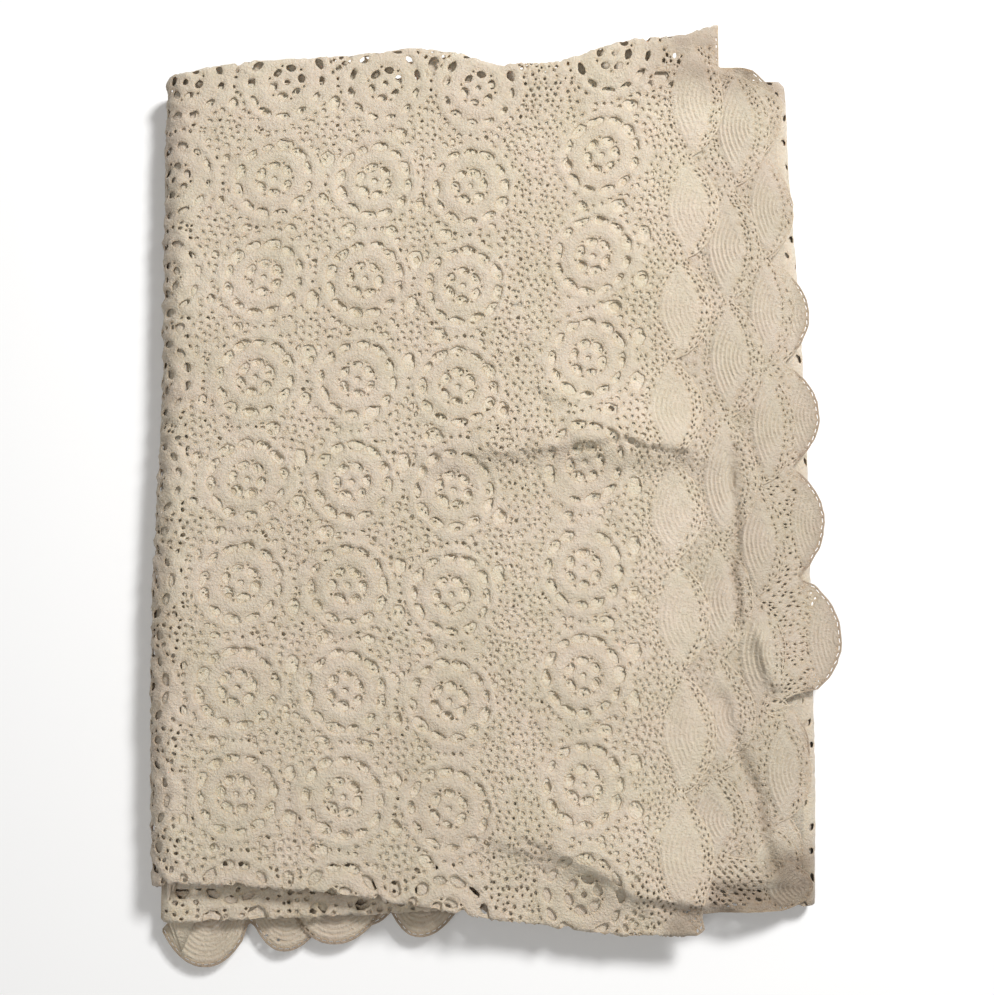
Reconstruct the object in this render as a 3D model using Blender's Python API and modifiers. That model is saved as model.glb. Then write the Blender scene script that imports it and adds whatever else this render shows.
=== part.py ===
"""Crochet bedspread, folded in half twice each way into a stack of sixteen layers.

One piece of cotton lace, 1.9 m by 2.5 m, with a scalloped border on all four
sides. Lengthwise it is folded in half and in half again, which gives four rows
lying on each other. The strip that this makes is then folded in half and in
half again sideways, which gives four panels. The result is one sheet of
constant thickness that runs back and forth sixteen times.

Frame: metres, +Z up, +X to the right and +Y away from whoever faces the
stack's front. The origin is under the middle of the stack's outline, on the
surface it lies on.

Rows    1 lies on top of panel 1; rows 1-2 join at the front fold, 2-3 at the
        inner back fold, 1-4 at the outer back fold. Rows 3 and 4 end free at
        the front, in scallops.
Panels  1 is the top, 4 below it, then 3, and 2 is underneath. 1-2 join round
        the whole left side, 2-3 on the right, 3-4 inside the left side. Panels
        1 and 4 end free on the right, in scallops.
"""

import bmesh
import bpy
import math

# ------------------------------------------------------------------ sizes, mm
MM = 0.001
SHEET = 1.4  # thickness of the crochet
STEP = 2.7  # from one layer to the next, so layers lie 1.3 apart
ROWS = {"1": 1.5, "2": 0.5, "3": -0.5, "4": -1.5}  # row levels in one panel, in steps
PANELS = {"1": 14, "4": 10, "3": 6, "2": 2}  # panel middles above the floor, in steps
FLOOR_GAP = SHEET / 2 - STEP / 2  # the lowest layer's underside is at height 0
LEFT_RADIUS = 6 * STEP  # middle line of the wrap that joins panels 1 and 2
SHORT_RADIUS = 2 * STEP  # of the folds that join panels 2-3 and 3-4
FRONT_RADIUS = BACK_INNER_RADIUS = STEP / 2
BACK_OUTER_RADIUS = 1.5 * STEP
BORDER_X = 92  # where the netting of the side border starts, panels 1 and 4
BORDER_Y = -222  # the same for the end border, rows 3 and 4
SCALLOP_PITCH = 75
SCALLOP_DEPTH = 22
SCALLOP_PARTS = 6  # straight pieces in the outline of one scallop
FOLD_PARTS = {"L": 6, "R": 4, "I": 4}  # straight pieces round each side fold
MIDDLE_X, MIDDLE_Y = -0.8, 10.4  # where the middle of the outline falls in the tables below

# How far each panel's folds reach, by where along the panel: y of the rows' folds'
# centre lines and of the free ends' tips.
#         panel   x   front   tip_3  tip_4  back_outer back_inner
REACH = [
    ("1", 230, -291, -262, -258, 317, 313),
    ("1", 178, -292, -262, -258, 320, 314),
    ("1", 166, -292, -262, -258, 351, 317),
    ("1", 152, -293, -262, -258, 347, 318),
    ("1", 143, -307, -262, -258, 343, 318),
    ("1", 90, -307, -262, -258, 337, 318),
    ("1", 46, -302, -262, -258, 321, 312),
    ("1", 0, -296, -262, -258, 321, 310),
    ("1", -30, -290, -262, -258, 330, 311),
    ("1", -60, -285, -262, -258, 334, 312),
    ("1", -110, -277, -260, -256, 328, 311),
    ("1", -180, -272, -258, -254, 324, 309),
    ("1", -228, -270, -258, -255, 316, 305),
    ("2", -228, -280, -318, -326, 312, 303),
    ("2", -150, -286, -320, -318, 313, 303),
    ("2", -50, -289, -304, -300, 315, 305),
    ("2", 100, -289, -280, -278, 316, 306),
    ("2", 216, -289, -276, -276, 316, 306),
    ("3", 216, -290, -276, -276, 317, 306),
    ("3", 100, -291, -282, -278, 315, 305),
    ("3", -19, -292, -302, -300, 313, 304),
    ("3", -113, -294, -322, -318, 311, 303),
    ("3", -225, -298, -326, -332, 309, 301),
    ("4", -225, -300, -268, -264, 309, 301),
    ("4", -150, -297, -264, -262, 311, 302),
    ("4", -70, -293, -262, -262, 313, 304),
    ("4", 0, -290, -262, -262, 315, 305),
    ("4", 200, -284, -262, -262, 317, 306),
]

# Centre lines of the side folds, by where along the stack.
#        y     left_wrap  left_inner  right
SIDES = [
    (340, -229, -224, 210),
    (245, -228, -224, 212),
    (160, -227, -224, 217),
    (75, -226, -223, 220),
    (0, -228, -224, 221),
    (-75, -230, -226, 221),
    (-145, -229, -226, 221),
    (-215, -227, -226, 221),
    (-300, -224, -225, 218),
]

# The side border's scallops on panel 1, row by row: y of each one's middle, x of its tip.
SCALLOPS = {
    "1": [(293, 168), (213, 164), (139, 157), (64, 149), (-10, 149), (-84, 153), (-168, 156), (-252, 152)],
    "2": [(279, 203), (183, 194), (104, 195), (12, 189), (-74, 184), (-156, 184), (-232, 178), (-278, 225)],
    "3": [(300, 214), (215, 221), (140, 219), (52, 219), (-33, 210), (-110, 208), (-199, 225), (-263, 216)],
    "4": [(290, 214), (213, 220), (137, 231), (62, 237), (-15, 239), (-102, 249), (-180, 224), (-252, 218)],
}
PANEL_4_TIP = {"1": 206, "2": 208, "3": 205, "4": 203}

# The front ends' scallops that differ from the plain repeat: panel, row, x of the
# middle, y of the tip.
END_SCALLOPS = [
    ("3", "3", -182, -304),
    ("3", "3", -113, -322),
    ("3", "3", -48, -311),
    ("3", "4", -213, -334),
    ("3", "4", -149, -327),
    ("3", "4", -84, -306),
]

# Soft ridges that lift the top layer: two ends of the ridge line, its height, and its
# half width in front of and behind the line.
#          x1   y1    x2   y2  height front behind
RIDGES = [
    (-30, 34, 60, 44, 5.0, 14, 34),
    (60, 44, 140, 22, 6.0, 14, 34),
    (10, -258, 90, -276, 6.0, 16, 40),
    (90, -276, 150, -286, 7.0, 16, 40),
    (40, 318, 150, 338, 5.0, 30, 30),
]
# The whole stack's own unevenness: x, y, height at the top, spread.
SWELLS = [
    (-150, 60, 1.6, 120),
    (-40, -160, 1.4, 130),
    (60, 150, 1.2, 120),
    (-120, 260, -1.5, 90),
    (170, -40, -2.0, 80),
]

# ------------------------------------------------------------- small helpers
TOP = 16 * STEP + FLOOR_GAP


def smooth(a, b, t):
    t = min(max((t - a) / (b - a), 0.0), 1.0)
    return t * t * (3 - 2 * t)


def between(table, at, column):
    """The value in this column of a table whose rows rise along the first one."""
    if at <= table[0][0]:
        return table[0][column]
    for low, high in zip(table, table[1:]):
        if at <= high[0]:
            t = (at - low[0]) / (high[0] - low[0])
            return low[column] + (high[column] - low[column]) * t
    return table[-1][column]


# The way along the folded strip, in mm from the middle of the stack on panel 1: each
# panel is as long as its x range and each fold as long as its middle line.
LEFT, LEFT_IN, RIGHT = -228, -225, 216
ALONG = {}
ALONG["1"] = lambda x: -x
ALONG["L"] = lambda f: -LEFT + f * math.pi * LEFT_RADIUS
ALONG["2"] = lambda x: ALONG["L"](1) + x - LEFT
ALONG["R"] = lambda f: ALONG["2"](RIGHT) + f * math.pi * SHORT_RADIUS
ALONG["3"] = lambda x: ALONG["R"](1) + RIGHT - x
ALONG["I"] = lambda f: ALONG["3"](LEFT_IN) + f * math.pi * SHORT_RADIUS
ALONG["4"] = lambda x: ALONG["I"](1) + x - LEFT_IN

REACH_ALONG = sorted((ALONG[panel](x), *rest) for panel, x, *rest in REACH)
SIDES_ALONG = sorted(SIDES)
FRONT, TIP_3, TIP_4, BACK_OUTER, BACK_INNER = 1, 2, 3, 4, 5


def reach(s, column):
    return between(REACH_ALONG, ALONG[s[0]](s[1]), column)


def side(y, column):
    return between(SIDES_ALONG, y, column)


# --------------------------------------------------------- the folded surface
def across(t, s):
    """(y, level) of a place t = (segment, y or share of the turn) in the section of the rows, at s along the strip."""
    kind, value = t
    if kind in ROWS:
        return value, ROWS[kind] * STEP
    turn = math.pi * value
    if kind == "F":  # row 2 to row 1, at the front
        return reach(s, FRONT) - FRONT_RADIUS * math.sin(turn), STEP - FRONT_RADIUS * math.cos(turn)
    if kind == "I":  # row 3 to row 2, inside the back
        return reach(s, BACK_INNER) + BACK_INNER_RADIUS * math.sin(turn), -BACK_INNER_RADIUS * math.cos(turn)
    # row 1 to row 4, round the back
    return reach(s, BACK_OUTER) + BACK_OUTER_RADIUS * math.sin(turn), BACK_OUTER_RADIUS * math.cos(turn)


def lift(x, y, z, on_top):
    """How much higher the uneven stack is here than an even one would be."""
    rise = sum(h * math.exp(-((x - a) ** 2 + (y - b) ** 2) / (2 * w * w)) for a, b, h, w in SWELLS)
    rise *= max((z - SHEET) / TOP, 0.0) ** 1.5  # the lowest layer stays flat
    if not on_top:
        return rise
    ridge = 0.0
    for x1, y1, x2, y2, height, front, behind in RIDGES:
        dx, dy = x2 - x1, y2 - y1
        length = math.hypot(dx, dy)
        along = ((x - x1) * dx + (y - y1) * dy) / length
        off = ((y - y1) * dx - (x - x1) * dy) / length
        ends = smooth(-45, 10, along) * (1 - smooth(length - 10, length + 45, along))
        width = front if off < 0 else behind
        ridge = max(ridge, height * ends * math.exp(-((off / width) ** 2)))
    return rise + ridge


def point(s, t):
    """The sheet's middle surface at s along the strip and t round the rows, in metres."""
    y, w = across(t, s)
    kind, value = s
    if kind in PANELS:
        up = 1 if kind in "13" else -1
        x, z = value, PANELS[kind] * STEP + up * w
    else:
        turn = math.pi * value
        if kind == "L":
            centre, height, radius = side(y, 1), 8 * STEP, LEFT_RADIUS + w
            x, z = centre - radius * math.sin(turn), height + radius * math.cos(turn)
        elif kind == "R":
            centre, height, radius = side(y, 3), 4 * STEP, SHORT_RADIUS + w
            x, z = centre + radius * math.sin(turn), height - radius * math.cos(turn)
        else:
            centre, height, radius = side(y, 2), 8 * STEP, SHORT_RADIUS - w
            x, z = centre - radius * math.sin(turn), height - radius * math.cos(turn)
    z += FLOOR_GAP
    on_top = kind == "1" and t[0] in ("1",)
    z += lift(x, y, z, on_top)
    return ((x - MIDDLE_X) * MM, (y - MIDDLE_Y) * MM, z * MM)


# ------------------------------------------------------- where the grid runs
def shares(parts):
    return [i / parts for i in range(parts + 1)]


def grid_s(y):
    """The places along the strip, as (segment, value), at this y: the panels' ends follow the side folds."""
    left, inner, right = side(y, 1), side(y, 2), side(y, 3)
    out = [("1", BORDER_X + (left - BORDER_X) * f) for f in (0, 0.24, 0.5, 0.76)]
    out += [("L", f) for f in shares(FOLD_PARTS["L"])]
    out += [("2", left + (right - left) * f) for f in (0.2, 0.4, 0.6, 0.8)]
    out += [("R", f) for f in shares(FOLD_PARTS["R"])]
    out += [("3", right + (inner - right) * f) for f in (0.2, 0.4, 0.6, 0.8)]
    out += [("I", f) for f in shares(FOLD_PARTS["I"])]
    out += [("4", inner + (BORDER_X - inner) * f) for f in (0.24, 0.5, 0.76, 1)]
    return out


def grid_t(s):
    """The places round the rows at this s."""
    front, outer, inner = reach(s, FRONT), reach(s, BACK_OUTER), reach(s, BACK_INNER)
    out = [("3", BORDER_Y + (inner - BORDER_Y) * f) for f in (0, 0.2, 0.4, 0.6, 0.8)]
    out += [("I", f) for f in shares(4)]
    out += [("2", inner + (front - inner) * f) for f in (0.17, 0.33, 0.5, 0.67, 0.83)]
    out += [("F", f) for f in shares(4)]
    out += [("1", front + (outer - front) * f) for f in (0.06, 0.2, 0.36, 0.51, 0.54, 0.6, 0.8, 0.95)]
    out += [("O", f) for f in shares(5)]
    out += [("4", outer + (BORDER_Y - outer) * f) for f in (0.2, 0.4, 0.6, 0.8, 1)]
    return out


# ----------------------------------------------------------- scalloped edges
def scallop_line(middles, start, end):
    """[(place, tip, share of the depth)] from start to end along an edge, from [(middle of a scallop, its tip)]."""
    middles = sorted(middles, key=lambda m: m[0], reverse=start > end)
    sign = 1 if start < end else -1
    cuts = [start] + [(a[0] + b[0]) / 2 for a, b in zip(middles, middles[1:])] + [end]
    line = []
    last_tip = middles[0][1]
    for (middle, tip), a, b in zip(middles, cuts, cuts[1:]):
        for i in range(SCALLOP_PARTS):
            at = a + (b - a) * i / SCALLOP_PARTS
            half = (middle - a) if (at - middle) * sign < 0 else (b - middle)
            share = (at - middle) / half if half else 0
            shared = i == 0 and None not in (tip, last_tip)  # a notch lies between its two scallops
            line.append((at, (tip + last_tip) / 2 if shared else tip, min(share * share, 1.0)))
        last_tip = tip
    line.append((cuts[-1], middles[-1][1], 1.0))
    return line


def side_edge(panel):
    """The outline of the free side edge of panel 1 or 4, as (s, t, place in the grid's own count of t)."""
    out = []
    for row, front_end in (("3", None), ("2", "F"), ("1", "F"), ("4", None)):
        if panel == "1":
            middles = SCALLOPS[row]
        else:
            tip = PANEL_4_TIP[row]
            middles = [(285 - SCALLOP_PITCH * i, tip) for i in range(8)]
        s_edge = (panel, middles[0][1] - 25)
        back = reach(s_edge, BACK_INNER if row in "23" else BACK_OUTER)
        front = reach(s_edge, FRONT) if front_end else BORDER_Y
        middles = [m for m in middles if front_end or m[0] > front + 20]
        a, b = (front, back) if row in "31" else (back, front)
        line = [
            ((panel, tip - SCALLOP_DEPTH * deep), (row, y))
            for y, tip, deep in scallop_line(middles, a, b)
        ]
        turn = {"3": ("I", 4), "2": ("F", 4), "1": ("O", 5)}.get(row)
        out.append((line, turn))
    outline = []
    for i, (line, turn) in enumerate(out):
        outline += line
        if turn:
            x1, x2 = line[-1][0][1], out[i + 1][0][0][0][1]
            kind, parts = turn
            for f in shares(parts)[1:-1]:
                outline.append(((panel, x1 + (x2 - x1) * f), (kind, f)))
    return outline


def end_edge(row):
    """The outline of the free front end of row 3 or 4, from panel 1's side to panel 4's."""
    column = TIP_3 if row == "3" else TIP_4
    first, last = -BORDER_X, ALONG["4"](BORDER_X)
    named = {}
    for panel, named_row, x, tip in END_SCALLOPS:
        if named_row == row:
            named[ALONG[panel](x)] = tip
    count = round((last - first) / SCALLOP_PITCH)
    pitch = (last - first) / count
    middles = [(first + pitch * (i + 0.5), None) for i in range(count)]
    middles = [m for m in middles if all(abs(m[0] - at) > 0.55 * pitch for at in named)]
    middles = sorted(middles + list(named.items()), key=lambda m: m[0])
    line = []
    for at, tip, deep in scallop_line(middles, first, last):
        s = place_along(at)
        if s[0] in PANELS:
            y = (reach(s, column) if tip is None else tip) + SCALLOP_DEPTH * deep
            line.append((at, s, (row, y)))
    # Round the side folds the edge bends where the grid does.
    for fold, parts in FOLD_PARTS.items():
        for f in shares(parts):
            s = (fold, f)
            line.append((ALONG[fold](f), s, (row, reach(s, column) + 0.3 * SCALLOP_DEPTH)))
    line.sort(key=lambda m: m[0])
    # Two points closer than the sheet is thick are one.
    kept = [line[0]]
    for item in line[1:]:
        if item[0] - kept[-1][0] > SHEET or item[1][0] in FOLD_PARTS:
            if kept[-1][1][0] in PANELS and item[0] - kept[-1][0] <= SHEET:
                kept.pop()
            kept.append(item)
    return [(s, t) for at, s, t in kept]


def place_along(at):
    """The (segment, value) at this many mm along the strip."""
    if at <= ALONG["L"](0):
        return ("1", -at)
    if at < ALONG["L"](1):
        return ("L", (at - ALONG["L"](0)) / (math.pi * LEFT_RADIUS))
    if at <= ALONG["R"](0):
        return ("2", at - ALONG["L"](1) + LEFT)
    if at < ALONG["R"](1):
        return ("R", (at - ALONG["R"](0)) / (math.pi * SHORT_RADIUS))
    if at <= ALONG["I"](0):
        return ("3", RIGHT - (at - ALONG["R"](1)))
    if at < ALONG["I"](1):
        return ("I", (at - ALONG["I"](0)) / (math.pi * SHORT_RADIUS))
    return ("4", at - ALONG["I"](1) + LEFT_IN)


ROUND_ROWS = {"3": 0, "I": 1, "2": 2, "F": 3, "1": 4, "O": 5, "4": 6}


def order_t(s, t):
    """A number that rises steadily round the rows."""
    kind, value = t
    if kind in "IFO":
        return ROUND_ROWS[kind] + value
    front, outer, inner = reach(s, FRONT), reach(s, BACK_OUTER), reach(s, BACK_INNER)
    a, b = {"3": (BORDER_Y, inner), "2": (inner, front), "1": (front, outer), "4": (outer, BORDER_Y)}[kind]
    return ROUND_ROWS[kind] + (value - a) / (b - a)


def zip_lines(bm, near, far):
    """Triangles between two rows of (place, vertex), each rising."""
    i = j = 0
    while i < len(near) - 1 or j < len(far) - 1:
        if j == len(far) - 1 or (i < len(near) - 1 and near[i + 1][0] <= far[j + 1][0]):
            corners = (near[i][1], near[i + 1][1], far[j][1])
            i += 1
        else:
            corners = (near[i][1], far[j + 1][1], far[j][1])
            j += 1
        bm.faces.new(corners)


def folded_sheet():
    """The sheet's middle surface: the grid, then its four scalloped edges and corners."""
    bm = bmesh.new()
    columns = len(grid_s(0))
    rows = len(grid_t(("1", 0)))
    nominal_y = [point(("1", 0), t)[1] / MM + MIDDLE_Y for t in grid_t(("1", 0))]
    grid = []
    for i in range(columns):
        column = []
        for j in range(rows):
            s = grid_s(nominal_y[j])[i]
            t = grid_t(s)[j]
            column.append((bm.verts.new(point(s, t)), s, t))
        grid.append(column)
    for a, b in zip(grid, grid[1:]):
        for j in range(rows - 1):
            bm.faces.new((a[j][0], b[j][0], b[j + 1][0], a[j + 1][0]))

    edge = {}
    for panel, column in (("1", grid[0]), ("4", grid[-1])):
        near = [(order_t(s, t), vert) for vert, s, t in column]
        far = [(order_t(s, t), bm.verts.new(point(s, t))) for s, t in side_edge(panel)]
        edge[panel] = far
        zip_lines(bm, near, far)
    for row, index in (("3", 0), ("4", -1)):
        line = [column[index] for column in grid]
        near = [(ALONG[s[0]](s[1]), vert) for vert, s, t in line]
        far = [(ALONG[s[0]](s[1]), bm.verts.new(point(s, t))) for s, t in end_edge(row)]
        edge["end" + row] = far
        zip_lines(bm, near, far)
    # The four corners of the whole bedspread: the side edge's last point and the end
    # edge's last point meet in one rounded scallop.
    for panel, at in (("1", 0), ("4", -1)):
        for row, index in (("3", 0), ("4", -1)):
            root = grid[at][index][0]
            from_side = edge[panel][index][1]
            from_end = edge["end" + row][at][1]
            tip = SCALLOPS[row][-1][1] if panel == "1" else PANEL_4_TIP[row]
            end_s = (panel, tip)
            y_tip = reach(end_s, TIP_3 if row == "3" else TIP_4)
            corner = [
                bm.verts.new(point((panel, tip - dx), (row, y_tip + dy)))
                for dx, dy in ((0, 22), (7, 7), (22, 0))
            ]
            ring = [from_side, *corner, from_end]
            for a, b in zip(ring, ring[1:]):
                bm.faces.new((root, a, b))
    bmesh.ops.triangulate(bm, faces=bm.faces)
    bmesh.ops.recalc_face_normals(bm, faces=bm.faces)
    mesh = bpy.data.meshes.new("bedspread")
    bm.to_mesh(mesh)
    bm.free()
    return mesh


def cotton():
    material = bpy.data.materials.new("ecru cotton")
    material.use_nodes = True
    shader = material.node_tree.nodes["Principled BSDF"]
    shader.inputs["Base Color"].default_value = (0.66, 0.58, 0.47, 1)
    shader.inputs["Roughness"].default_value = 0.9
    shader.inputs["Metallic"].default_value = 0.0
    return material


def main():
    for old in list(bpy.data.objects):
        bpy.data.objects.remove(old, do_unlink=True)
    collection = bpy.data.collections.new("crochet bedspread")
    bpy.context.scene.collection.children.link(collection)
    bedspread = bpy.data.objects.new("bedspread", folded_sheet())
    collection.objects.link(bedspread)
    bedspread.data.materials.append(cotton())
    thick = bedspread.modifiers.new("thickness", "SOLIDIFY")
    thick.thickness = SHEET * MM
    thick.offset = 0
    thick.use_even_offset = True


main()
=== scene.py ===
"""Looks of the folded crochet bedspread: the lace itself, built as geometry.

Each visible layer is drawn flat, in mm, as a sheet with holes: wheels, filler
rosettes, the gaps round them, netting, ridged scallops and the picot edge.
The flat drawing is triangulated, given rounded rims and relief, and then laid
along the folded stack. Layers that hardly show are one plain folded sheet.
"""

import math

import bpy
import numpy as np
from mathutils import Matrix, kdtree
from mathutils.geometry import delaunay_2d_cdt

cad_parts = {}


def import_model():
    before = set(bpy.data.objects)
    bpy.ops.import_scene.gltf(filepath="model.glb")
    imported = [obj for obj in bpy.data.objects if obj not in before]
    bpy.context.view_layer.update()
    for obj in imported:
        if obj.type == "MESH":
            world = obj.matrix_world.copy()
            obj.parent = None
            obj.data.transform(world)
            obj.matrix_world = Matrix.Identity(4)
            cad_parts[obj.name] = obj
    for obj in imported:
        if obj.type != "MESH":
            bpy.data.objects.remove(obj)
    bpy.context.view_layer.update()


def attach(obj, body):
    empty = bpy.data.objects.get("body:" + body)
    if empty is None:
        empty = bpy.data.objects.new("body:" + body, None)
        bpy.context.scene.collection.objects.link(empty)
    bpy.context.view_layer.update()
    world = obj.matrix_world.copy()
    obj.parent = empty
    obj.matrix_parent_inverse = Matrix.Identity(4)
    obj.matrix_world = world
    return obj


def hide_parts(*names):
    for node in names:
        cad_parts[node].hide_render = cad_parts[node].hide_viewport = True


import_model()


# ------------------------------------------------------------------ sizes, mm
MM = 0.001
SHEET = 1.4
STEP = 2.7
ROWS = {"1": 1.5, "2": 0.5, "3": -0.5, "4": -1.5}
PANELS = {"1": 14, "4": 10, "3": 6, "2": 2}
UP = {"1": 1, "3": 1, "2": -1, "4": -1}
FLOOR_GAP = SHEET / 2 - STEP / 2
LEFT_RADIUS, SHORT_RADIUS = 6 * STEP, 2 * STEP
FRONT_RADIUS = BACK_INNER_RADIUS = STEP / 2
BACK_OUTER_RADIUS = 1.5 * STEP
BORDER_Y = -222
SCALLOP_DEPTH = 22
MIDDLE_X, MIDDLE_Y = -0.8, 10.4
LEFT, LEFT_IN, RIGHT = -228, -225, 216
PITCH = 75.0

REACH = [
    ("1", 230, -291, -262, -258, 317, 313),
    ("1", 178, -292, -262, -258, 320, 314),
    ("1", 166, -292, -262, -258, 351, 317),
    ("1", 152, -293, -262, -258, 347, 318),
    ("1", 143, -307, -262, -258, 343, 318),
    ("1", 90, -307, -262, -258, 337, 318),
    ("1", 46, -302, -262, -258, 321, 312),
    ("1", 0, -296, -262, -258, 321, 310),
    ("1", -30, -290, -262, -258, 330, 311),
    ("1", -60, -285, -262, -258, 334, 312),
    ("1", -110, -277, -260, -256, 328, 311),
    ("1", -180, -272, -258, -254, 324, 309),
    ("1", -228, -270, -258, -255, 316, 305),
    ("2", -228, -280, -318, -326, 312, 303),
    ("2", -150, -286, -320, -318, 313, 303),
    ("2", -50, -289, -304, -300, 315, 305),
    ("2", 100, -289, -280, -278, 316, 306),
    ("2", 216, -289, -276, -276, 316, 306),
    ("3", 216, -290, -276, -276, 317, 306),
    ("3", 100, -291, -282, -278, 315, 305),
    ("3", -19, -292, -302, -300, 313, 304),
    ("3", -113, -294, -322, -318, 311, 303),
    ("3", -225, -298, -326, -332, 309, 301),
    ("4", -225, -300, -268, -264, 309, 301),
    ("4", -150, -297, -264, -262, 311, 302),
    ("4", -70, -293, -262, -262, 313, 304),
    ("4", 0, -290, -262, -262, 315, 305),
    ("4", 200, -284, -262, -262, 317, 306),
]
SIDES = [
    (340, -229, -224, 210),
    (245, -228, -224, 212),
    (160, -227, -224, 217),
    (75, -226, -223, 220),
    (0, -228, -224, 221),
    (-75, -230, -226, 221),
    (-145, -229, -226, 221),
    (-215, -227, -226, 221),
    (-300, -224, -225, 218),
]
SCALLOPS = {
    "1": [(293, 168), (213, 164), (139, 157), (64, 149), (-10, 149), (-84, 153), (-168, 156), (-252, 152)],
    "2": [(279, 203), (183, 194), (104, 195), (12, 189), (-74, 184), (-156, 184), (-232, 178), (-278, 225)],
    "3": [(300, 214), (215, 221), (140, 219), (52, 219), (-33, 210), (-110, 208), (-199, 225), (-263, 216)],
    "4": [(290, 214), (213, 220), (137, 231), (62, 237), (-15, 239), (-102, 249), (-180, 224), (-252, 218)],
}
PANEL_4_TIP = {"1": 206, "2": 208, "3": 205, "4": 203}
END_SCALLOPS = {
    "3": [(-182, -304), (-113, -322), (-48, -311)],
    "4": [(-213, -334), (-149, -327), (-84, -306)],
}
RIDGES = [
    (-30, 31, 54, 40, 5.2, 11, 34),
    (54, 40, 140, 33, 7.4, 13, 34),
    (10, -243, 70, -262, 5.0, 7, 40),
    (70, -262, 96, -279, 6.0, 7, 40),
    (96, -279, 150, -286, 6.0, 7, 40),
    (40, 318, 150, 338, 5.0, 30, 30),
]
# Sharper creases of the upper layers: (x1, y1, x2, y2, height, width in front, width behind, lowest z).
CREASES = [
    (-12, 34, 26, 35, 2.4, 3.5, 20, 34),
    (26, 35, 54, 40, 3.2, 3.0, 22, 34),
    (54, 40, 92, 45, 4.8, 2.6, 22, 34),
    (92, 45, 110, 39, 5.0, 2.6, 20, 34),
    (110, 39, 139, 36, 4.4, 3.0, 20, 34),
    (30, 80, 54, 67, 2.8, 3.0, 14, 34),
    (172, 34, 171, -92, -5.05, 4.6, 3.8, 30),
    (160, -142, 172, -180, -3.4, 7, 5, 30),
    (172, -180, 187, -215, -5.5, 6, 4.5, 28),
    (187, -215, 193, -262, -6.5, 6, 4.5, 28),
    (187, -99, 198, -135, 6.5, 4.5, 9, 28),
    (154, -277, 206, -280, -3.0, 6, 6, 28),
]
# The front of the top layers falls away beyond these lines: (x1, y1, x2, y2, drop).
FALLS = [
    (30, -243, 70, -262, 3.5),
    (70, -262, 96, -279, 4.0),
    (96, -279, 150, -286, 4.0),
]
SWELLS = [
    (-150, 60, 1.6, 120),
    (-40, -160, 1.4, 130),
    (60, 150, 1.2, 120),
    (-120, 260, -1.5, 90),
    (170, -40, -2.0, 80),
]
TOP = 16 * STEP + FLOOR_GAP

# The columns of wheels on the top layer, from the front fold to the back. Each
# leans to the right towards the back, more and more: (x at the front, y at the
# front, pitch, wheels, lean at the back, how late it bends)
WHEEL_COLUMNS = [
    (-184, -210, 74.4, 8, 28, 2.3),
    (-108, -212, 74.5, 8, 25, 2.3),
    (-34, -220, 75.1, 8, 20, 2.3),
]
SEAM_COLUMN = (61, -280, 76.3, 9, 26, 3.5)


def wheel_column(x, y, pitch, wheels, lean, bend):
    return [(x + lean * (j / (wheels - 1)) ** bend, y + pitch * j) for j in range(wheels)]


WHEELS = [wheel_column(*row) for row in WHEEL_COLUMNS]
SEAM_WHEELS = wheel_column(*SEAM_COLUMN)


# ------------------------------------------------------------- small helpers
def smooth(a, b, t):
    t = np.clip((np.asarray(t, float) - a) / (b - a), 0, 1)
    return t * t * (3 - 2 * t)


A_L0 = -LEFT
ALONG_TABLE = {
    "1": lambda x: -x,
    "2": lambda x: A_L0 + math.pi * LEFT_RADIUS + x - LEFT,
}
ALONG_R1 = ALONG_TABLE["2"](RIGHT) + math.pi * SHORT_RADIUS
ALONG_TABLE["3"] = lambda x: ALONG_R1 + RIGHT - x
ALONG_I1 = ALONG_TABLE["3"](LEFT_IN) + math.pi * SHORT_RADIUS
ALONG_TABLE["4"] = lambda x: ALONG_I1 + x - LEFT_IN
REACH_SORTED = np.array(sorted((ALONG_TABLE[p](x), *rest) for p, x, *rest in REACH), float)
SIDES_SORTED = np.array(sorted(SIDES), float)
FRONT, TIP_3, TIP_4, BACK_OUTER, BACK_INNER = 1, 2, 3, 4, 5


def reach(along, column):
    return np.interp(along, REACH_SORTED[:, 0], REACH_SORTED[:, column])


def side(y, column):
    return np.interp(y, SIDES_SORTED[:, 0], SIDES_SORTED[:, column])


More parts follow.
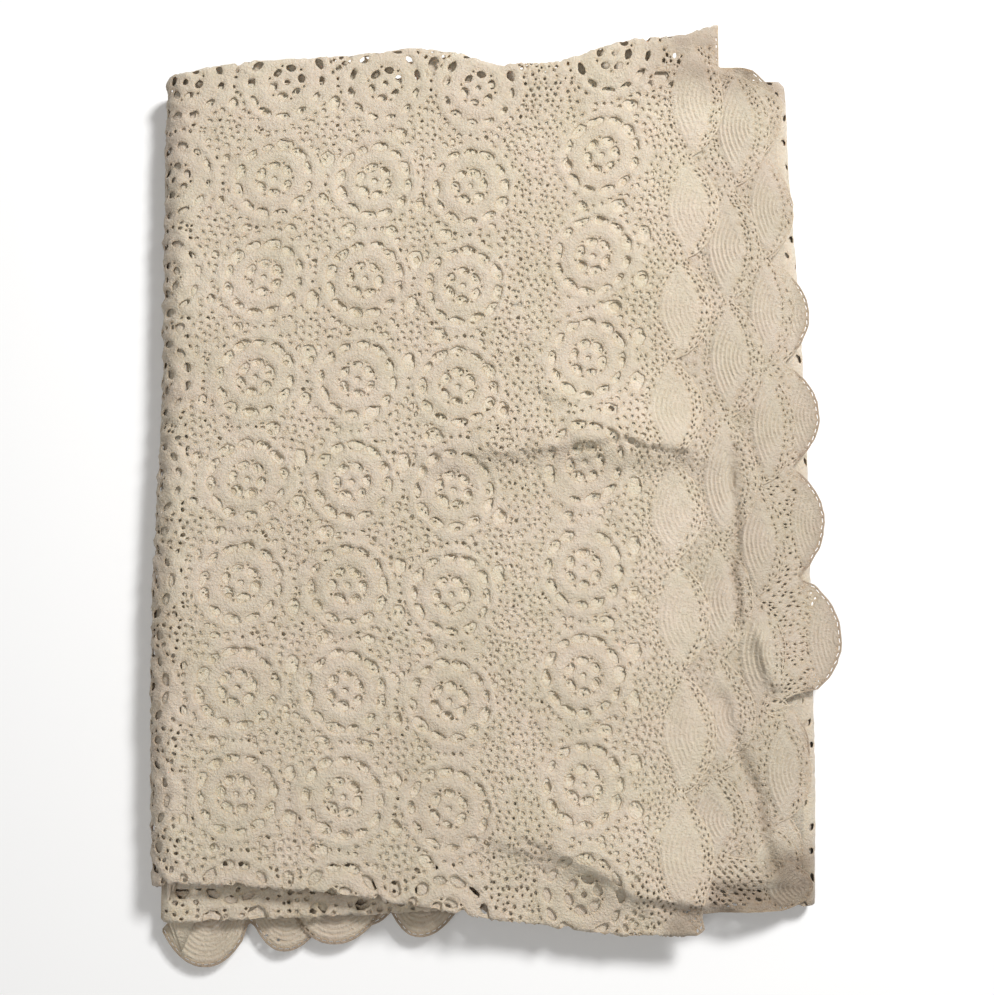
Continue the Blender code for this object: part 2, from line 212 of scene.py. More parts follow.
def lift(x, y, z):
    rise = sum(h * np.exp(-((x - a) ** 2 + (y - b) ** 2) / (2 * w * w)) for a, b, h, w in SWELLS)
    rise = rise * np.clip((z - SHEET) / TOP, 0, None) ** 1.5
    ridge = np.zeros_like(rise)
    for x1, y1, x2, y2, height, front, behind in RIDGES:
        dx, dy = x2 - x1, y2 - y1
        length = math.hypot(dx, dy)
        along = ((x - x1) * dx + (y - y1) * dy) / length
        off = ((y - y1) * dx - (x - x1) * dy) / length
        ends = smooth(-45, 10, along) * (1 - smooth(length - 10, length + 45, along))
        width = np.where(off < 0, front, behind)
        ridge = np.maximum(ridge, height * ends * np.exp(-((off / width) ** 2)))
    crease = np.zeros_like(rise)
    for x1, y1, x2, y2, height, front, behind, low in CREASES:
        dx, dy = x2 - x1, y2 - y1
        length = math.hypot(dx, dy)
        along = ((x - x1) * dx + (y - y1) * dy) / length
        off = ((y - y1) * dx - (x - x1) * dy) / length + 1.5 * np.sin(along / 11.0)
        ends = smooth(-9, 4, along) * (1 - smooth(length - 4, length + 9, along))
        own = height * ends * np.exp(-((off / np.where(off < 0, front, behind)) ** 2)) * smooth(low, low + 4, z)
        crease = np.where(np.abs(own) > np.abs(crease), own, crease)
    fall = np.zeros_like(rise)
    for x1, y1, x2, y2, drop in FALLS:
        dx, dy = x2 - x1, y2 - y1
        length = math.hypot(dx, dy)
        along = ((x - x1) * dx + (y - y1) * dy) / length
        off = -((y - y1) * dx - (x - x1) * dy) / length
        ends = smooth(-25, 5, along) * (1 - smooth(length + 10, length + 30, along))
        fall = np.maximum(fall, ends * (drop * smooth(0, 4, off) + 0.11 * np.clip(off, 0, 30)))
    # Beyond the inner panel's free edge the borders sink towards the panels below.
    sag = 8.5 * smooth(186, 224, x) + 11.0 * smooth(180, 214, x) * smooth(-244, -292, y) * (1 - 0.35 * smooth(186, 224, x))
    sag = sag + 6.0 * smooth(146, 160, x) * smooth(-264, -292, y) * (1 - smooth(186, 214, x))
    sag = sag * smooth(21, 31, z)
    return rise + ridge * np.clip((z - 31) / 10.2, 0, 1) ** 0.8 + crease - fall * smooth(14, 34, z) - sag


def wave(x, y, seed, size):
    """Soft irregular unevenness from -1 to 1, with features of about this size in mm."""
    rng = np.random.default_rng(seed)
    out = np.zeros_like(np.asarray(x, float))
    for _ in range(6):
        angle, phase, k = rng.uniform(0, math.pi), rng.uniform(0, 6.28), rng.uniform(0.6, 1.5)
        out += np.sin((x * math.cos(angle) + y * math.sin(angle)) * 6.28 * k / (2 * size) + phase)
    return out / 3.2


# ------------------------------------- from a flat drawing to the folded stack
L_REAL = math.pi * (LEFT_RADIUS + 1.5 * STEP)
R_REAL = math.pi * (SHORT_RADIUS + 1.5 * STEP)
SKIN_L1 = A_L0 + L_REAL
SKIN_R0 = SKIN_L1 + RIGHT - LEFT
SKIN_R1 = SKIN_R0 + R_REAL
F_REAL = math.pi * FRONT_RADIUS
O_REAL = math.pi * BACK_OUTER_RADIUS


def skin_along(a):
    return np.interp(
        a,
        [-300, A_L0, SKIN_L1, SKIN_R0, SKIN_R1, SKIN_R1 + 441],
        [-300, A_L0, A_L0 + math.pi * LEFT_RADIUS, ALONG_TABLE["2"](RIGHT), ALONG_R1, ALONG_R1 + 441],
    )


def section(b, along, h):
    """(y, level) on the sheet that runs from row 2 round the front fold, along row 1 and round the back fold to row 4."""
    front, outer = reach(along, FRONT), reach(along, BACK_OUTER)
    y, w = np.array(b, float), 1.5 * STEP + h
    e = front - b
    turn, past = np.clip(e / FRONT_RADIUS, 0, math.pi), np.clip(e - F_REAL, 0, None)
    y = np.where(e > 0, front - (FRONT_RADIUS + h) * np.sin(turn) + past, y)
    w = np.where(e > 0, STEP + (FRONT_RADIUS + h) * np.cos(turn), w)
    e = b - outer
    turn, past = np.clip(e / BACK_OUTER_RADIUS, 0, math.pi), np.clip(e - O_REAL, 0, None)
    y = np.where(e > 0, outer + (BACK_OUTER_RADIUS + h) * np.sin(turn) - past, y)
    w = np.where(e > 0, (BACK_OUTER_RADIUS + h) * np.cos(turn), w)
    return y, w


def finish_points(x, y, z):
    z = z + FLOOR_GAP
    z = z + lift(x, y, z)
    z = np.where(z < 0.5, 0.5 * np.exp(np.minimum(z / 0.5 - 1, 0)), z)
    return np.stack([(x - MIDDLE_X) * MM, (y - MIDDLE_Y) * MM, z * MM], axis=-1)


def skin(x_flat, b, h):
    """The outermost sheet: panel 1's row 1 (x_flat is x there), round the left side, panel 2 and round the right side."""
    a = -x_flat
    h = h + 0.8 * wave(x_flat, b, 8, 6.5) * smooth(A_L0 - 14, A_L0 + 6, a) * (1 - smooth(SKIN_L1 - 20, SKIN_L1, a))
    y, w = section(b, skin_along(a), h)
    left, right, inner = side(y, 1), side(y, 3), side(y, 2)
    x = -a * (1 + (left / LEFT - 1) * smooth(120, 228, a))
    z = 14 * STEP + w
    turn = np.clip((a - A_L0) / (LEFT_RADIUS + 1.5 * STEP), 0, math.pi)
    x = np.where(a > A_L0, left - (LEFT_RADIUS + w) * np.sin(turn), x)
    z = np.where(a > A_L0, 8 * STEP + (LEFT_RADIUS + w) * np.cos(turn), z)
    x = np.where(a > SKIN_L1, left + (right - left) * (a - SKIN_L1) / (RIGHT - LEFT), x)
    z = np.where(a > SKIN_L1, 2 * STEP - w, z)
    turn = np.clip((a - SKIN_R0) / (SHORT_RADIUS + 1.5 * STEP), 0, math.pi)
    x = np.where(a > SKIN_R0, right + (SHORT_RADIUS + w) * np.sin(turn), x)
    z = np.where(a > SKIN_R0, 4 * STEP - (SHORT_RADIUS + w) * np.cos(turn), z)
    x = np.where(a > SKIN_R1, right + (inner - right) * (a - SKIN_R1) / 441, x)
    z = np.where(a > SKIN_R1, 6 * STEP + w, z)
    return finish_points(x, y, z)


def panel_skin(panel):
    """The rows 2-1-4 sheet within one panel, with its front and back folds."""

    def laid(x, b, h):
        y, w = section(b, ALONG_TABLE[panel](np.maximum(x, LEFT_IN)), h)
        sunk = 9.0 * smooth(-228, -243, x) ** 2 if panel == "4" else 0.0
        return finish_points(x, y, PANELS[panel] * STEP + UP[panel] * w - sunk)

    return laid


def flat_row(panel, row):
    def laid(x, y, h):
        return finish_points(x, y, PANELS[panel] * STEP + UP[panel] * ROWS[row] * STEP + h)

    return laid


# ------------------------------------------------------------- flat drawings
class Lace:
    """A flat sheet in mm with an outline, holes, relief lines and the middles of its motifs."""

    CELL = 0.4

    def __init__(self, outline, seed):
        self.rng = np.random.default_rng(seed)
        self.outline = np.array(outline, float)
        self.low = self.outline.min(0) - 2
        size = np.ceil((self.outline.max(0) + 2 - self.low) / self.CELL).astype(int)
        self.free = np.zeros(size, bool)
        ys = self.low[1] + (np.arange(size[1]) + 0.5) * self.CELL
        p, q = self.outline, np.roll(self.outline, -1, axis=0)
        for i in range(size[0]):
            x = self.low[0] + (i + 0.5) * self.CELL
            hit = (p[:, 0] > x) != (q[:, 0] > x)
            if hit.any():
                cross = p[hit, 1] + (x - p[hit, 0]) / (q[hit, 0] - p[hit, 0]) * (q[hit, 1] - p[hit, 1])
                self.free[i] = (np.searchsorted(np.sort(cross), ys) % 2).astype(bool)
        self.inside = self.free.copy()
        self.plain = np.zeros(size, bool)
        self.holes, self.lines, self.spots, self.wheels, self.rows = [], [], [], [], []

    def cells(self, poly, margin):
        """The raster window round a convex polygon, and which of its cells lie within margin of it."""
        low = np.maximum(((poly.min(0) - margin - self.low) / self.CELL).astype(int), 0)
        high = np.minimum(((poly.max(0) + margin - self.low) / self.CELL).astype(int) + 2, self.free.shape)
        if (high <= low).any():
            return None
        x = self.low[0] + (np.arange(low[0], high[0]) + 0.5) * self.CELL
        y = self.low[1] + (np.arange(low[1], high[1]) + 0.5) * self.CELL
        inside = np.ones((len(x), len(y)), bool)
        for (ax, ay), (bx, by) in zip(poly, np.roll(poly, -1, axis=0)):
            length = math.hypot(bx - ax, by - ay) + 1e-9
            away = ((by - ay) * (x[:, None] - ax) - (bx - ax) * (y[None, :] - ay)) / length
            inside &= away <= margin
        return (slice(low[0], high[0]), slice(low[1], high[1])), inside

    def hole(self, poly, margin=0.6):
        """Cuts a hole where there is room for it, else leaves it out. poly is convex, anticlockwise."""
        found = self.cells(poly, margin)
        if found is None:
            return False
        window, near = found
        if not near.any() or not self.free[window][near].all():
            return False
        found = self.cells(poly, 0.0)
        if found is None or (poly.min(0) < self.low + 1).any():
            return False
        window, own = found
        self.free[window][own] = False
        self.holes.append(poly)
        return True

    def block(self, poly, plain=False):
        found = self.cells(poly, 0.0)
        if found is not None:
            window, own = found
            self.free[window][own] = False
            if plain:
                self.plain[window][own] = True
        return found

    def distances(self, steps):
        """How far each cell is from a hole or the outside, in mm, up to this many cells."""
        solid = self.inside.copy()
        for poly in self.holes:
            window, own = self.cells(poly, 0.0)
            solid[window][own] = False
        far = solid.astype(np.uint8)
        now = solid
        for i in range(steps):
            grown = now.copy()
            grown[1:] &= now[:-1]
            grown[:-1] &= now[1:]
            grown[:, 1:] &= now[:, :-1]
            grown[:, :-1] &= now[:, 1:]
            if i % 2:
                for a, b in ((1, 1), (1, -1)):
                    shifted = np.roll(now, (a, b), (0, 1))
                    grown &= shifted & np.roll(now, (-a, -b), (0, 1))
            now = grown
            far += now
        return far * self.CELL

    def sample(self, raster, points):
        index = ((points - self.low) / self.CELL).astype(int)
        ok = ((index >= 0) & (index < raster.shape)).all(axis=1)
        index = np.clip(index, 0, np.array(raster.shape) - 1)
        return np.where(ok, raster[index[:, 0], index[:, 1]], 0)


def oval(cx, cy, ru, rv, angle, n, rng=None, rough=0.07, phase=0.0):
    t = phase + np.arange(n) * 2 * math.pi / n
    r = 1.0 if rng is None else 1 + rng.uniform(-rough, rough, n)
    x, y = ru * np.cos(t) * r, rv * np.sin(t) * r
    c, s = math.cos(angle), math.sin(angle)
    return np.stack([cx + x * c - y * s, cy + x * s + y * c], axis=1)


def lattice(columns):
    """A smooth map from (column, row) to mm through the given wheel centres."""
    grid = np.array(columns, float)

    def spline(values, t, axis_len):
        i = np.clip(np.floor(t).astype(int), 1, axis_len - 3)
        f = t - i
        w = [
            -0.5 * f + f * f - 0.5 * f**3,
            1 - 2.5 * f * f + 1.5 * f**3,
            0.5 * f + 2 * f * f - 1.5 * f**3,
            -0.5 * f * f + 0.5 * f**3,
        ]
        return i, w

    def place(u, v):
        u, v = np.asarray(u, float), np.asarray(v, float)
        i, wu = spline(grid, u, grid.shape[0])
        j, wv = spline(grid, v, grid.shape[1])
        out = np.zeros(u.shape + (2,))
        for a in range(4):
            for b in range(4):
                out += (wu[a] * wv[b])[..., None] * grid[i + a - 1, j + b - 1]
        return out

    return place


def extended(column, before, after):
    """A column with rows added at both ends at its own pitch."""
    column = [np.array(p, float) for p in column]
    for _ in range(before):
        column.insert(0, 2 * column[0] - column[1])
    for _ in range(after):
        column.append(2 * column[-1] - column[-2])
    return column


def cut(lace, place, u, v, poly, margin=0.6):
    """Cuts a polygon given in lattice units round (u, v)."""
    mapped = place(u + poly[:, 0], v + poly[:, 1])
    if lace.hole(mapped, margin):
        return True
    middle = mapped.mean(axis=0)
    return len(poly) > 5 and lace.hole(middle + (mapped - middle) * 0.78, margin)


def ring_line(lace, place, u, v, radius, height, n=36, wobble=0.0, petals=12, turn=0.0):
    """A closed relief line round a motif."""
    t = np.linspace(0, 2 * math.pi, n + 1)
    r = radius + wobble * np.abs(np.sin((t - turn) * petals / 2))
    lace.lines.append((place(u + r * np.cos(t), v + r * np.sin(t)), np.full(n + 1, height)))


def wheel(lace, place, u, v, fine, open_share=1.0):
    rng = lace.rng
    centre = place(u, v)
    lace.wheels.append((centre[0], centre[1], PITCH))
    lace.spots.append((centre[0], centre[1]))
    n_small, n_oval = (8, 10) if fine else (5, 6)
    size = open_share
    cut(lace, place, u, v, oval(0, 0, 0.030, 0.030, 0, n_small, rng, 0.12))
    turn = rng.uniform(0, 1.05)
    for k in range(6):
        a = turn + k * math.pi / 3 + rng.uniform(-0.05, 0.05)
        r, s = 0.144 + rng.uniform(-0.004, 0.004), size * rng.uniform(0.88, 1.05)
        cut(lace, place, u, v, oval(r * math.cos(a), r * math.sin(a), 0.046 * s, 0.066 * s, a, n_oval, rng, 0.12), 0.45)
        if fine:
            a += math.pi / 6
            cut(lace, place, u, v, oval(0.181 * math.cos(a), 0.181 * math.sin(a), 0.011, 0.014, a, 5, rng, 0.15), 0.35)
    turn = rng.uniform(0, 0.52)
    for k in range(12):
        a = turn + k * math.pi / 6 + rng.uniform(-0.04, 0.04)
        r, s = 0.350 + rng.uniform(-0.009, 0.009), size * rng.uniform(0.76, 1.1)
        wide = 0.048 * s * rng.uniform(0.8, 1.1)
        cut(lace, place, u, v, oval(r * math.cos(a), r * math.sin(a), wide, 0.081 * s, a, n_oval, rng, 0.16), 0.5)
    if fine:
        ring_line(lace, place, u, v, 0.080, 1.25, 14)
        ring_line(lace, place, u, v, 0.207, 0.70, 30)
        ring_line(lace, place, u, v, 0.246, 1.6, 36)
        ring_line(lace, place, u, v, 0.285, 0.70, 36)
        ring_line(lace, place, u, v, 0.408, 1.45, 48, 0.022, 12, turn + math.pi / 12)
        for k in range(24):
            if k % 6 in (0, 5) or rng.uniform() < 0.25:
                continue
            a = k * math.pi / 12 + rng.uniform(-0.05, 0.05)
            r = 0.462 + rng.uniform(-0.008, 0.008)
            cut(lace, place, u, v, oval(r * math.cos(a), r * math.sin(a), 0.013, 0.022, a, 5, rng, 0.2), 0.4)


def gap(lace, place, u, v, direction, fine, open_share=1.0):
    """The opening beside a filler rosette at (u, v), on the side that direction points to."""
    rng = lace.rng
    c, s = math.cos(direction), math.sin(direction)
    d, size = 0.282 + rng.uniform(-0.012, 0.012), open_share * rng.uniform(0.82, 1.12)
    if fine and rng.uniform() < 0.38:
        # crossed by threads: a few smaller openings
        turn = rng.uniform(0, 6.28)
        for k in range(4):
            a, r = turn + k * 1.57 + rng.uniform(-0.3, 0.3), 0.052 * size
            x, y = d * c + r * math.cos(a), d * s + r * math.sin(a)
            own = rng.uniform(0.018, 0.036) * size
            cut(lace, place, u, v, oval(x, y, own, own * rng.uniform(0.7, 1.0), a, 7, rng, 0.2), 0.4)
        return
    n, rough = (12, 0.13) if fine else (7, 0.10)
    cut(lace, place, u, v, oval(d * c, d * s, 0.090 * size, 0.078 * size * rng.uniform(0.8, 1.05), direction, n, rng, rough))


def filler(lace, place, u, v, fine, directions=(0, 1, 2, 3), open_share=1.0):
    rng = lace.rng
    centre = place(u, v)
    lace.spots.append((centre[0], centre[1]))
    for k in directions:
        gap(lace, place, u, v, k * math.pi / 2, fine, open_share)
    n = 6 if fine else 5
    if fine:
        cut(lace, place, u, v, oval(0, 0, 0.022, 0.022, 0, n, rng), 0.4)
    turn = rng.uniform(0, 0.78)
    for k in range(8 if fine else 4):
        a = turn + k * math.pi / (4 if fine else 2) + rng.uniform(-0.08, 0.08)
        s = rng.uniform(0.6, 1.1)
        cut(lace, place, u, v, oval(0.086 * math.cos(a), 0.086 * math.sin(a), 0.024 * s, 0.021 * s, a, n, rng, 0.2), 0.4)
        if fine:
            a += math.pi / 8 + rng.uniform(-0.1, 0.1)
            s = rng.uniform(0.7, 1.2)
            cut(lace, place, u, v, oval(0.148 * math.cos(a), 0.148 * math.sin(a), 0.014 * s, 0.021 * s, a, 5, rng, 0.2), 0.4)
    if not fine:
        return
    for k in range(4):
        for spread in (-0.31, 0.31):
            a = math.pi / 4 + k * math.pi / 2 + spread + rng.uniform(-0.06, 0.06)
            s = rng.uniform(0.6, 1.1)
            cut(lace, place, u, v, oval(0.226 * math.cos(a), 0.226 * math.sin(a), 0.034 * s, 0.024 * s, a, 6, rng, 0.15), 0.5)
    ring_line(lace, place, u, v, 0.117, 1.25, 20)


def joint(lace, place, u, v, upright, fine):
    """Small openings where two wheels are joined."""
    rng = lace.rng
    for k, size in ((-0.118, 1.3), (-0.042, 1.0), (0.042, 1.0), (0.118, 1.3)):
        d = k + rng.uniform(-0.008, 0.008)
        o = rng.uniform(-0.02, 0.02)
        at = (o, d) if upright else (d, o)
        cut(lace, place, u, v, oval(at[0], at[1], 0.018 * size, 0.015 * size, rng.uniform(0, 3), 6, rng, 0.2), 0.5)


def mesh_fill(lace, region, pitch, sizes, stretch_angle=0.0, jitter=0.15, margin=0.8, n=4, seed=0, skip=0.0, spread=(0.6, 1.2)):
    """Netting: staggered openings over the region's box, kept where region(x, y) is true and there is room."""
    rng = lace.rng
    low, high = lace.outline.min(0), lace.outline.max(0)
    xs = np.arange(low[0], high[0], pitch[0])
    ys = np.arange(low[1], high[1], pitch[1])
    spots = []
    for j, y in enumerate(ys):
        for x in xs:
            spots.append((x + (j % 2) * pitch[0] / 2, y))
    spots = np.array(spots)
    bend = wave(spots[:, 0], spots[:, 1], 31 + seed, 45)
    spots[:, 0] += 1.6 * bend
    spots[:, 1] += 1.6 * wave(spots[:, 0], spots[:, 1], 77 + seed, 40)
    spots += rng.uniform(-jitter, jitter, spots.shape) * pitch
    keep = region(spots[:, 0], spots[:, 1]) & (lace.sample(lace.free, spots) > 0)
    tilt = stretch_angle + 0.35 * wave(spots[:, 0], spots[:, 1], 99 + seed, 30)
    for (x, y), lean in zip(spots[keep], tilt[keep]):
        if rng.uniform() < skip:
            continue
        s = rng.uniform(*spread)
        lean += rng.uniform(-0.25, 0.25)
        lace.hole(oval(x, y, sizes[0] * s, sizes[1] * s, lean, n, rng, 0.25), margin)


def scallop_shape(middles, start, end):
    """[(middle, tip, near cut, far cut)] of an edge's scallops from start to end, rising."""
    middles = sorted(middles)
    cuts = [start] + [(a[0] + b[0]) / 2 for a, b in zip(middles, middles[1:])] + [end]
    return [(m, tip, a, b) for (m, tip), a, b in zip(middles, cuts, cuts[1:])]


def scallop_edge(shape, parts=14, depth=SCALLOP_DEPTH):
    """The edge line as (place along the edge, reach), from scallop_shape."""
    out = []
    last = shape[0][1]
    for middle, tip, a, b in shape:
        for i in range(parts):
            at = a + (b - a) * i / parts
            half = (middle - a) if at < middle else (b - middle)
            share = min(abs(at - middle) / max(half, 1e-6), 1.0)
            own = tip - depth * share**2.2
            if i == 0:
                own = (tip + last) / 2 - depth
            out.append((at, own))
        last = tip
    out.append((shape[-1][3], shape[-1][1] - depth))
    return out


def picots(lace, line, size=(1.45, 0.3), pitch=5.2, inset=1.9, skip=0.0):
    """A row of small openings just inside an edge line."""
    line = np.array(line, float)
    step = np.linalg.norm(np.diff(line, axis=0), axis=1)
    run = np.concatenate([[0], np.cumsum(step)])
    for at in np.arange(pitch / 2, run[-1], pitch):
        i = min(np.searchsorted(run, at) - 1, len(step) - 1)
        d = (line[i + 1] - line[i]) / step[i]
        p = line[i] + d * (at - run[i])
        p = p + np.array([-d[1], d[0]]) * inset
        angle = math.atan2(d[1], d[0])
        corners = np.array([(-1, -1), (1, -1), (1, 1), (-1, 1)]) * size
        c, s = math.cos(angle), math.sin(angle)
        poly = np.stack([p[0] + corners[:, 0] * c - corners[:, 1] * s, p[1] + corners[:, 0] * s + corners[:, 1] * c], 1)
        if skip == 0 or lace.rng.uniform() > skip:
            lace.hole(poly, 0.45)


RIB = (0.0, 0.55, 1.0, 0.55)


def lens(lace, centre, half_long, half_wide, axis, ridges=8, crest=1.4, trough=0.42, beside=2):
    """A ridged solid petal with pointed ends. axis is its length's direction."""
    cx, cy = centre
    c, s = math.cos(axis), math.sin(axis)

    def place(p, q, out=0.0):
        across, along = p * half_wide * (1 - np.abs(q) ** 1.8) + out, q * half_long
        return np.stack([cx + along * c - across * s, cy + along * s + across * c], axis=-1)

    q = np.linspace(-1, 1, 13)
    border = np.concatenate([place(-1, q[1:-1]), [place(0, 1.0)], place(1, q[::-1][1:-1]), [place(0, -1.0)]])
    if lace.block(border, True) is None:
        return
    # The ridges are rows worked one outside the other, so they follow the outer edge.
    count = 4 * ridges
    focus = place(np.array(-0.96), np.array(0.0))
    for k in range(1, count):
        share = 1 - 0.93 * k / count
        qs = np.linspace(-1, 1, max(int(15 * share**0.5), 4)) * (0.72, 0.79, 0.90, 0.79)[k % 4]
        outer = place(np.ones(len(qs)), qs)
        tall = trough + (crest - trough) * RIB[k % 4]
        lace.lines.append((focus + share * (outer - focus), np.full(len(qs), tall)))
    for m in range(beside):
        for turn in (-1, 1):
            qs = np.linspace(-1.12, 1.12, 61)
            line = place(turn, np.clip(qs, -1, 1), turn * (1.9 + 2.7 * m))
            line[:, 0] += (qs - np.clip(qs, -1, 1)) * half_long * c
            line[:, 1] += (qs - np.clip(qs, -1, 1)) * half_long * s
            lace.rows.append((line, 1.5 + 2.3 * (m % 2)))


def net_rows(lace, keep=None):
    """The rows of netting that run beside the petals."""
    rng = lace.rng
    for line, start in lace.rows:
        step = np.linalg.norm(np.diff(line, axis=0), axis=1)
        run = np.concatenate([[0], np.cumsum(step)])
        for at in np.arange(start, run[-1] - 1, 4.8):
            if rng.uniform() < 0.18:
                continue
            i = min(np.searchsorted(run, at + rng.uniform(-1.1, 1.1)), len(step) - 1)
            d = line[i + 1] - line[i]
            lean = math.atan2(d[1], d[0]) + rng.uniform(-0.5, 0.5)
            size = rng.uniform(0.5, 1.05)
            x, y = line[i] + rng.uniform(-0.5, 0.5, 2)
            if keep is None or keep(x, y):
                lace.hole(oval(x, y, 1.5 * size, 0.75 * size, lean, 4, rng, 0.3), 0.5)


def shell(lace, middle, line, focus, ridges=8, deep=30.0, crest=1.5, trough=0.35):
    """Ridges parallel to a scallop's edge line, drawn in towards a focus."""
    line, focus = np.array(line, float), np.array(focus, float)
    length = np.linalg.norm(line - focus, axis=1)
    count = 4 * ridges
    lace.block(np.concatenate([line + (focus - line) * 3.6 / length[:, None], [focus]]), True)
    for k in range(count + 1):
        inward = 3.4 + (deep - 3.4) * k / count
        points = resampled(line + (focus - line) * (inward / np.maximum(length, inward + 1))[:, None], 3.2)
        lace.lines.append((points, np.full(len(points), trough + (crest - trough) * RIB[k % 4])))


def painted_fold_shade(points):
    """How much painted shade the cotton gets, from 0 to 1: most at the corners and edges that stick out and turn away
    from the light.
    """
    x, y = points[:, 0] / MM + MIDDLE_X, points[:, 1] / MM + MIDDLE_Y
    corner = 1.0 * smooth(178, 202, x) * smooth(-232, -264, y)
    front = 0.95 * smooth(140, 156, x) * smooth(-262, -284, y)
    strip = 0.7 * smooth(112, 126, x) * smooth(-280, -290, y) * (1 - smooth(146, 150, x))
    back = 0.7 * smooth(158, 168, x) * smooth(303, 316, y)
    left = 0.45 * smooth(-226, -243, x)
    top = 0.55 * smooth(90, 140, x) * smooth(284, 320, y)
    out = np.max([corner, front, strip, back, left, top], axis=0)
    # and painted shade along the deep creases
    for x1, y1, x2, y2, height, _, _, _ in CREASES:
        if height < -5:
            dx, dy = x2 - x1, y2 - y1
            length = math.hypot(dx, dy)
            along = ((x - x1) * dx + (y - y1) * dy) / length
            off = ((y - y1) * dx - (x - x1) * dy) / length + 1.5 * np.sin(along / 11.0)
            ends = smooth(-9, 4, along) * (1 - smooth(length - 4, length + 9, along))
            out = np.maximum(out, 0.13 * (-height - 2.5) * ends * np.exp(-((off / 2.6) ** 2)))
    return np.clip(out * (1 + 0.25 * wave(x, y, 63, 9)), 0, 1)


def build(lace, laid, name, grid=3.0, thick=0.72, closed=True, rough=0.25, seed=5, split=None, under=0.9):
    """Triangulates the flat drawing and lays it on the stack. Returns the new objects."""
    rng = np.random.default_rng(seed)
    points, kinds, owner, edges = [], [], [], []  # kind: 0 edge, 1 rim, 2 body, 3 relief line, 4 strand middle
    tall = []

    def add(new, kind, who, height):
        start = len(points)
        points.extend(map(tuple, new))
        kinds.extend([kind] * len(new))
        owner.extend([who] * len(new))
        tall.extend(height if hasattr(height, "__len__") else [height] * len(new))
        return start

    n = len(lace.outline)
    add(lace.outline, 0, -2, 0.0)
    edges += [(i, (i + 1) % n) for i in range(n)]
    for k, poly in enumerate(lace.holes):
        start = add(poly, 0, k, 0.0)
        edges += [(start + i, start + (i + 1) % len(poly)) for i in range(len(poly))]
    far = lace.distances(6)
    # rims
    rims = []
    for poly in lace.holes:
        if len(poly) < 6:
            continue
        before, after = np.roll(poly, 1, axis=0), np.roll(poly, -1, axis=0)
        d = after - before
        out = np.stack([d[:, 1], -d[:, 0]], 1) / (np.linalg.norm(d, axis=1)[:, None] + 1e-9)
        rims.append(poly + out * 0.85)
    if rims:
        rims = np.concatenate(rims)
        rims = rims[lace.sample(far, rims) >= 0.75]
        _, first = np.unique(np.round(rims / 0.9).astype(int), axis=0, return_index=True)
        rims = rims[np.sort(first)]
        add(rims, 1, -3, 0.8)
    # relief lines
    taken = np.zeros(far.shape, bool)
    for line, heights in lace.lines:
        ok = lace.sample(far, line) >= 0.7
        if ok.sum() < 1:
            continue
        place_of = np.cumsum(ok) - 1
        start = add(line[ok], 3, -3, list(heights[ok]))
        joined = np.flatnonzero(ok[:-1] & ok[1:])
        edges += [(start + int(place_of[i]), start + int(place_of[i]) + 1) for i in joined]
        line = line[ok]
        index = ((line - lace.low) / lace.CELL).astype(int)
        for a in range(-3, 4):
            for b in range(-3, 4):
                taken[np.clip(index[:, 0] + a, 0, far.shape[0] - 1), np.clip(index[:, 1] + b, 0, far.shape[1] - 1)] = 1
    # body
    low, high = lace.outline.min(0), lace.outline.max(0)
    xs, ys = np.arange(low[0], high[0], grid), np.arange(low[1], high[1], grid * 0.87)
    body = np.stack(np.meshgrid(xs, ys, indexing="ij"), -1)
    body[:, 1::2, 0] += grid / 2
    body = body.reshape(-1, 2) + rng.uniform(-0.18, 0.18, (body.size // 2, 2)) * grid
    body = body[(lace.sample(far, body) >= 2.0) & (lace.sample(taken, body) == 0)]
    add(body, 2, -3, 1.0)

    def triangles():
        verts, _, faces, source, _, _ = delaunay_2d_cdt(points, edges, [], 0, 1e-5, True)
        verts = np.array([tuple(v) for v in verts])
        first = np.array([s[0] if s else -1 for s in source])
        return verts, np.array([f for f in faces if len(f) == 3]), first

    verts, faces, first = triangles()
    kind, own = np.array(kinds)[first], np.array(owner)[first]
    kind, own = np.where(first < 0, 0, kind), np.where(first < 0, -9, own)
    pairs = np.concatenate([faces[:, [0, 1]], faces[:, [1, 2]], faces[:, [2, 0]]])
    pairs = np.unique(np.sort(pairs, axis=1), axis=0)
    bridge = (kind[pairs[:, 0]] == 0) & (kind[pairs[:, 1]] == 0) & (own[pairs[:, 0]] != own[pairs[:, 1]])
    a, b = verts[pairs[bridge, 0]], verts[pairs[bridge, 1]]
    length = np.linalg.norm(a - b, axis=1)
    middle = (a + b)[length > 0.35] / 2
    length = length[length > 0.35]
    ok = lace.sample(lace.inside, middle) > 0
    middle, length = middle[ok], length[ok]
    _, keep_first = np.unique(np.round(middle / 0.45).astype(int), axis=0, return_index=True)
    middle, length = middle[keep_first], length[keep_first]
    add(middle, 4, -3, list(0.36 + 0.5 * np.clip(length / 2.4, 0, 1)))
    verts, faces, first = triangles()
    kind, own = np.array(kinds)[first], np.array(owner)[first]
    kind, own = np.where(first < 0, 0, kind), np.where(first < 0, -9, own)
    height = np.where(first < 0, 0.0, np.array(tall)[first])

    same = (own[faces[:, 0]] == own[faces[:, 1]]) & (own[faces[:, 1]] == own[faces[:, 2]])
    in_hole = same & (own[faces[:, 0]] >= 0)
    middle = verts[faces].mean(axis=1)
    outside = same & (own[faces[:, 0]] == -2) & (lace.sample(lace.inside, middle) == 0)
    faces = faces[~in_hole & ~outside]
    area = np.cross(verts[faces[:, 1]] - verts[faces[:, 0]], verts[faces[:, 2]] - verts[faces[:, 0]])
    faces = np.where(area[:, None] < 0, faces[:, ::-1], faces)
    faces = faces[np.abs(area) > 1e-3]
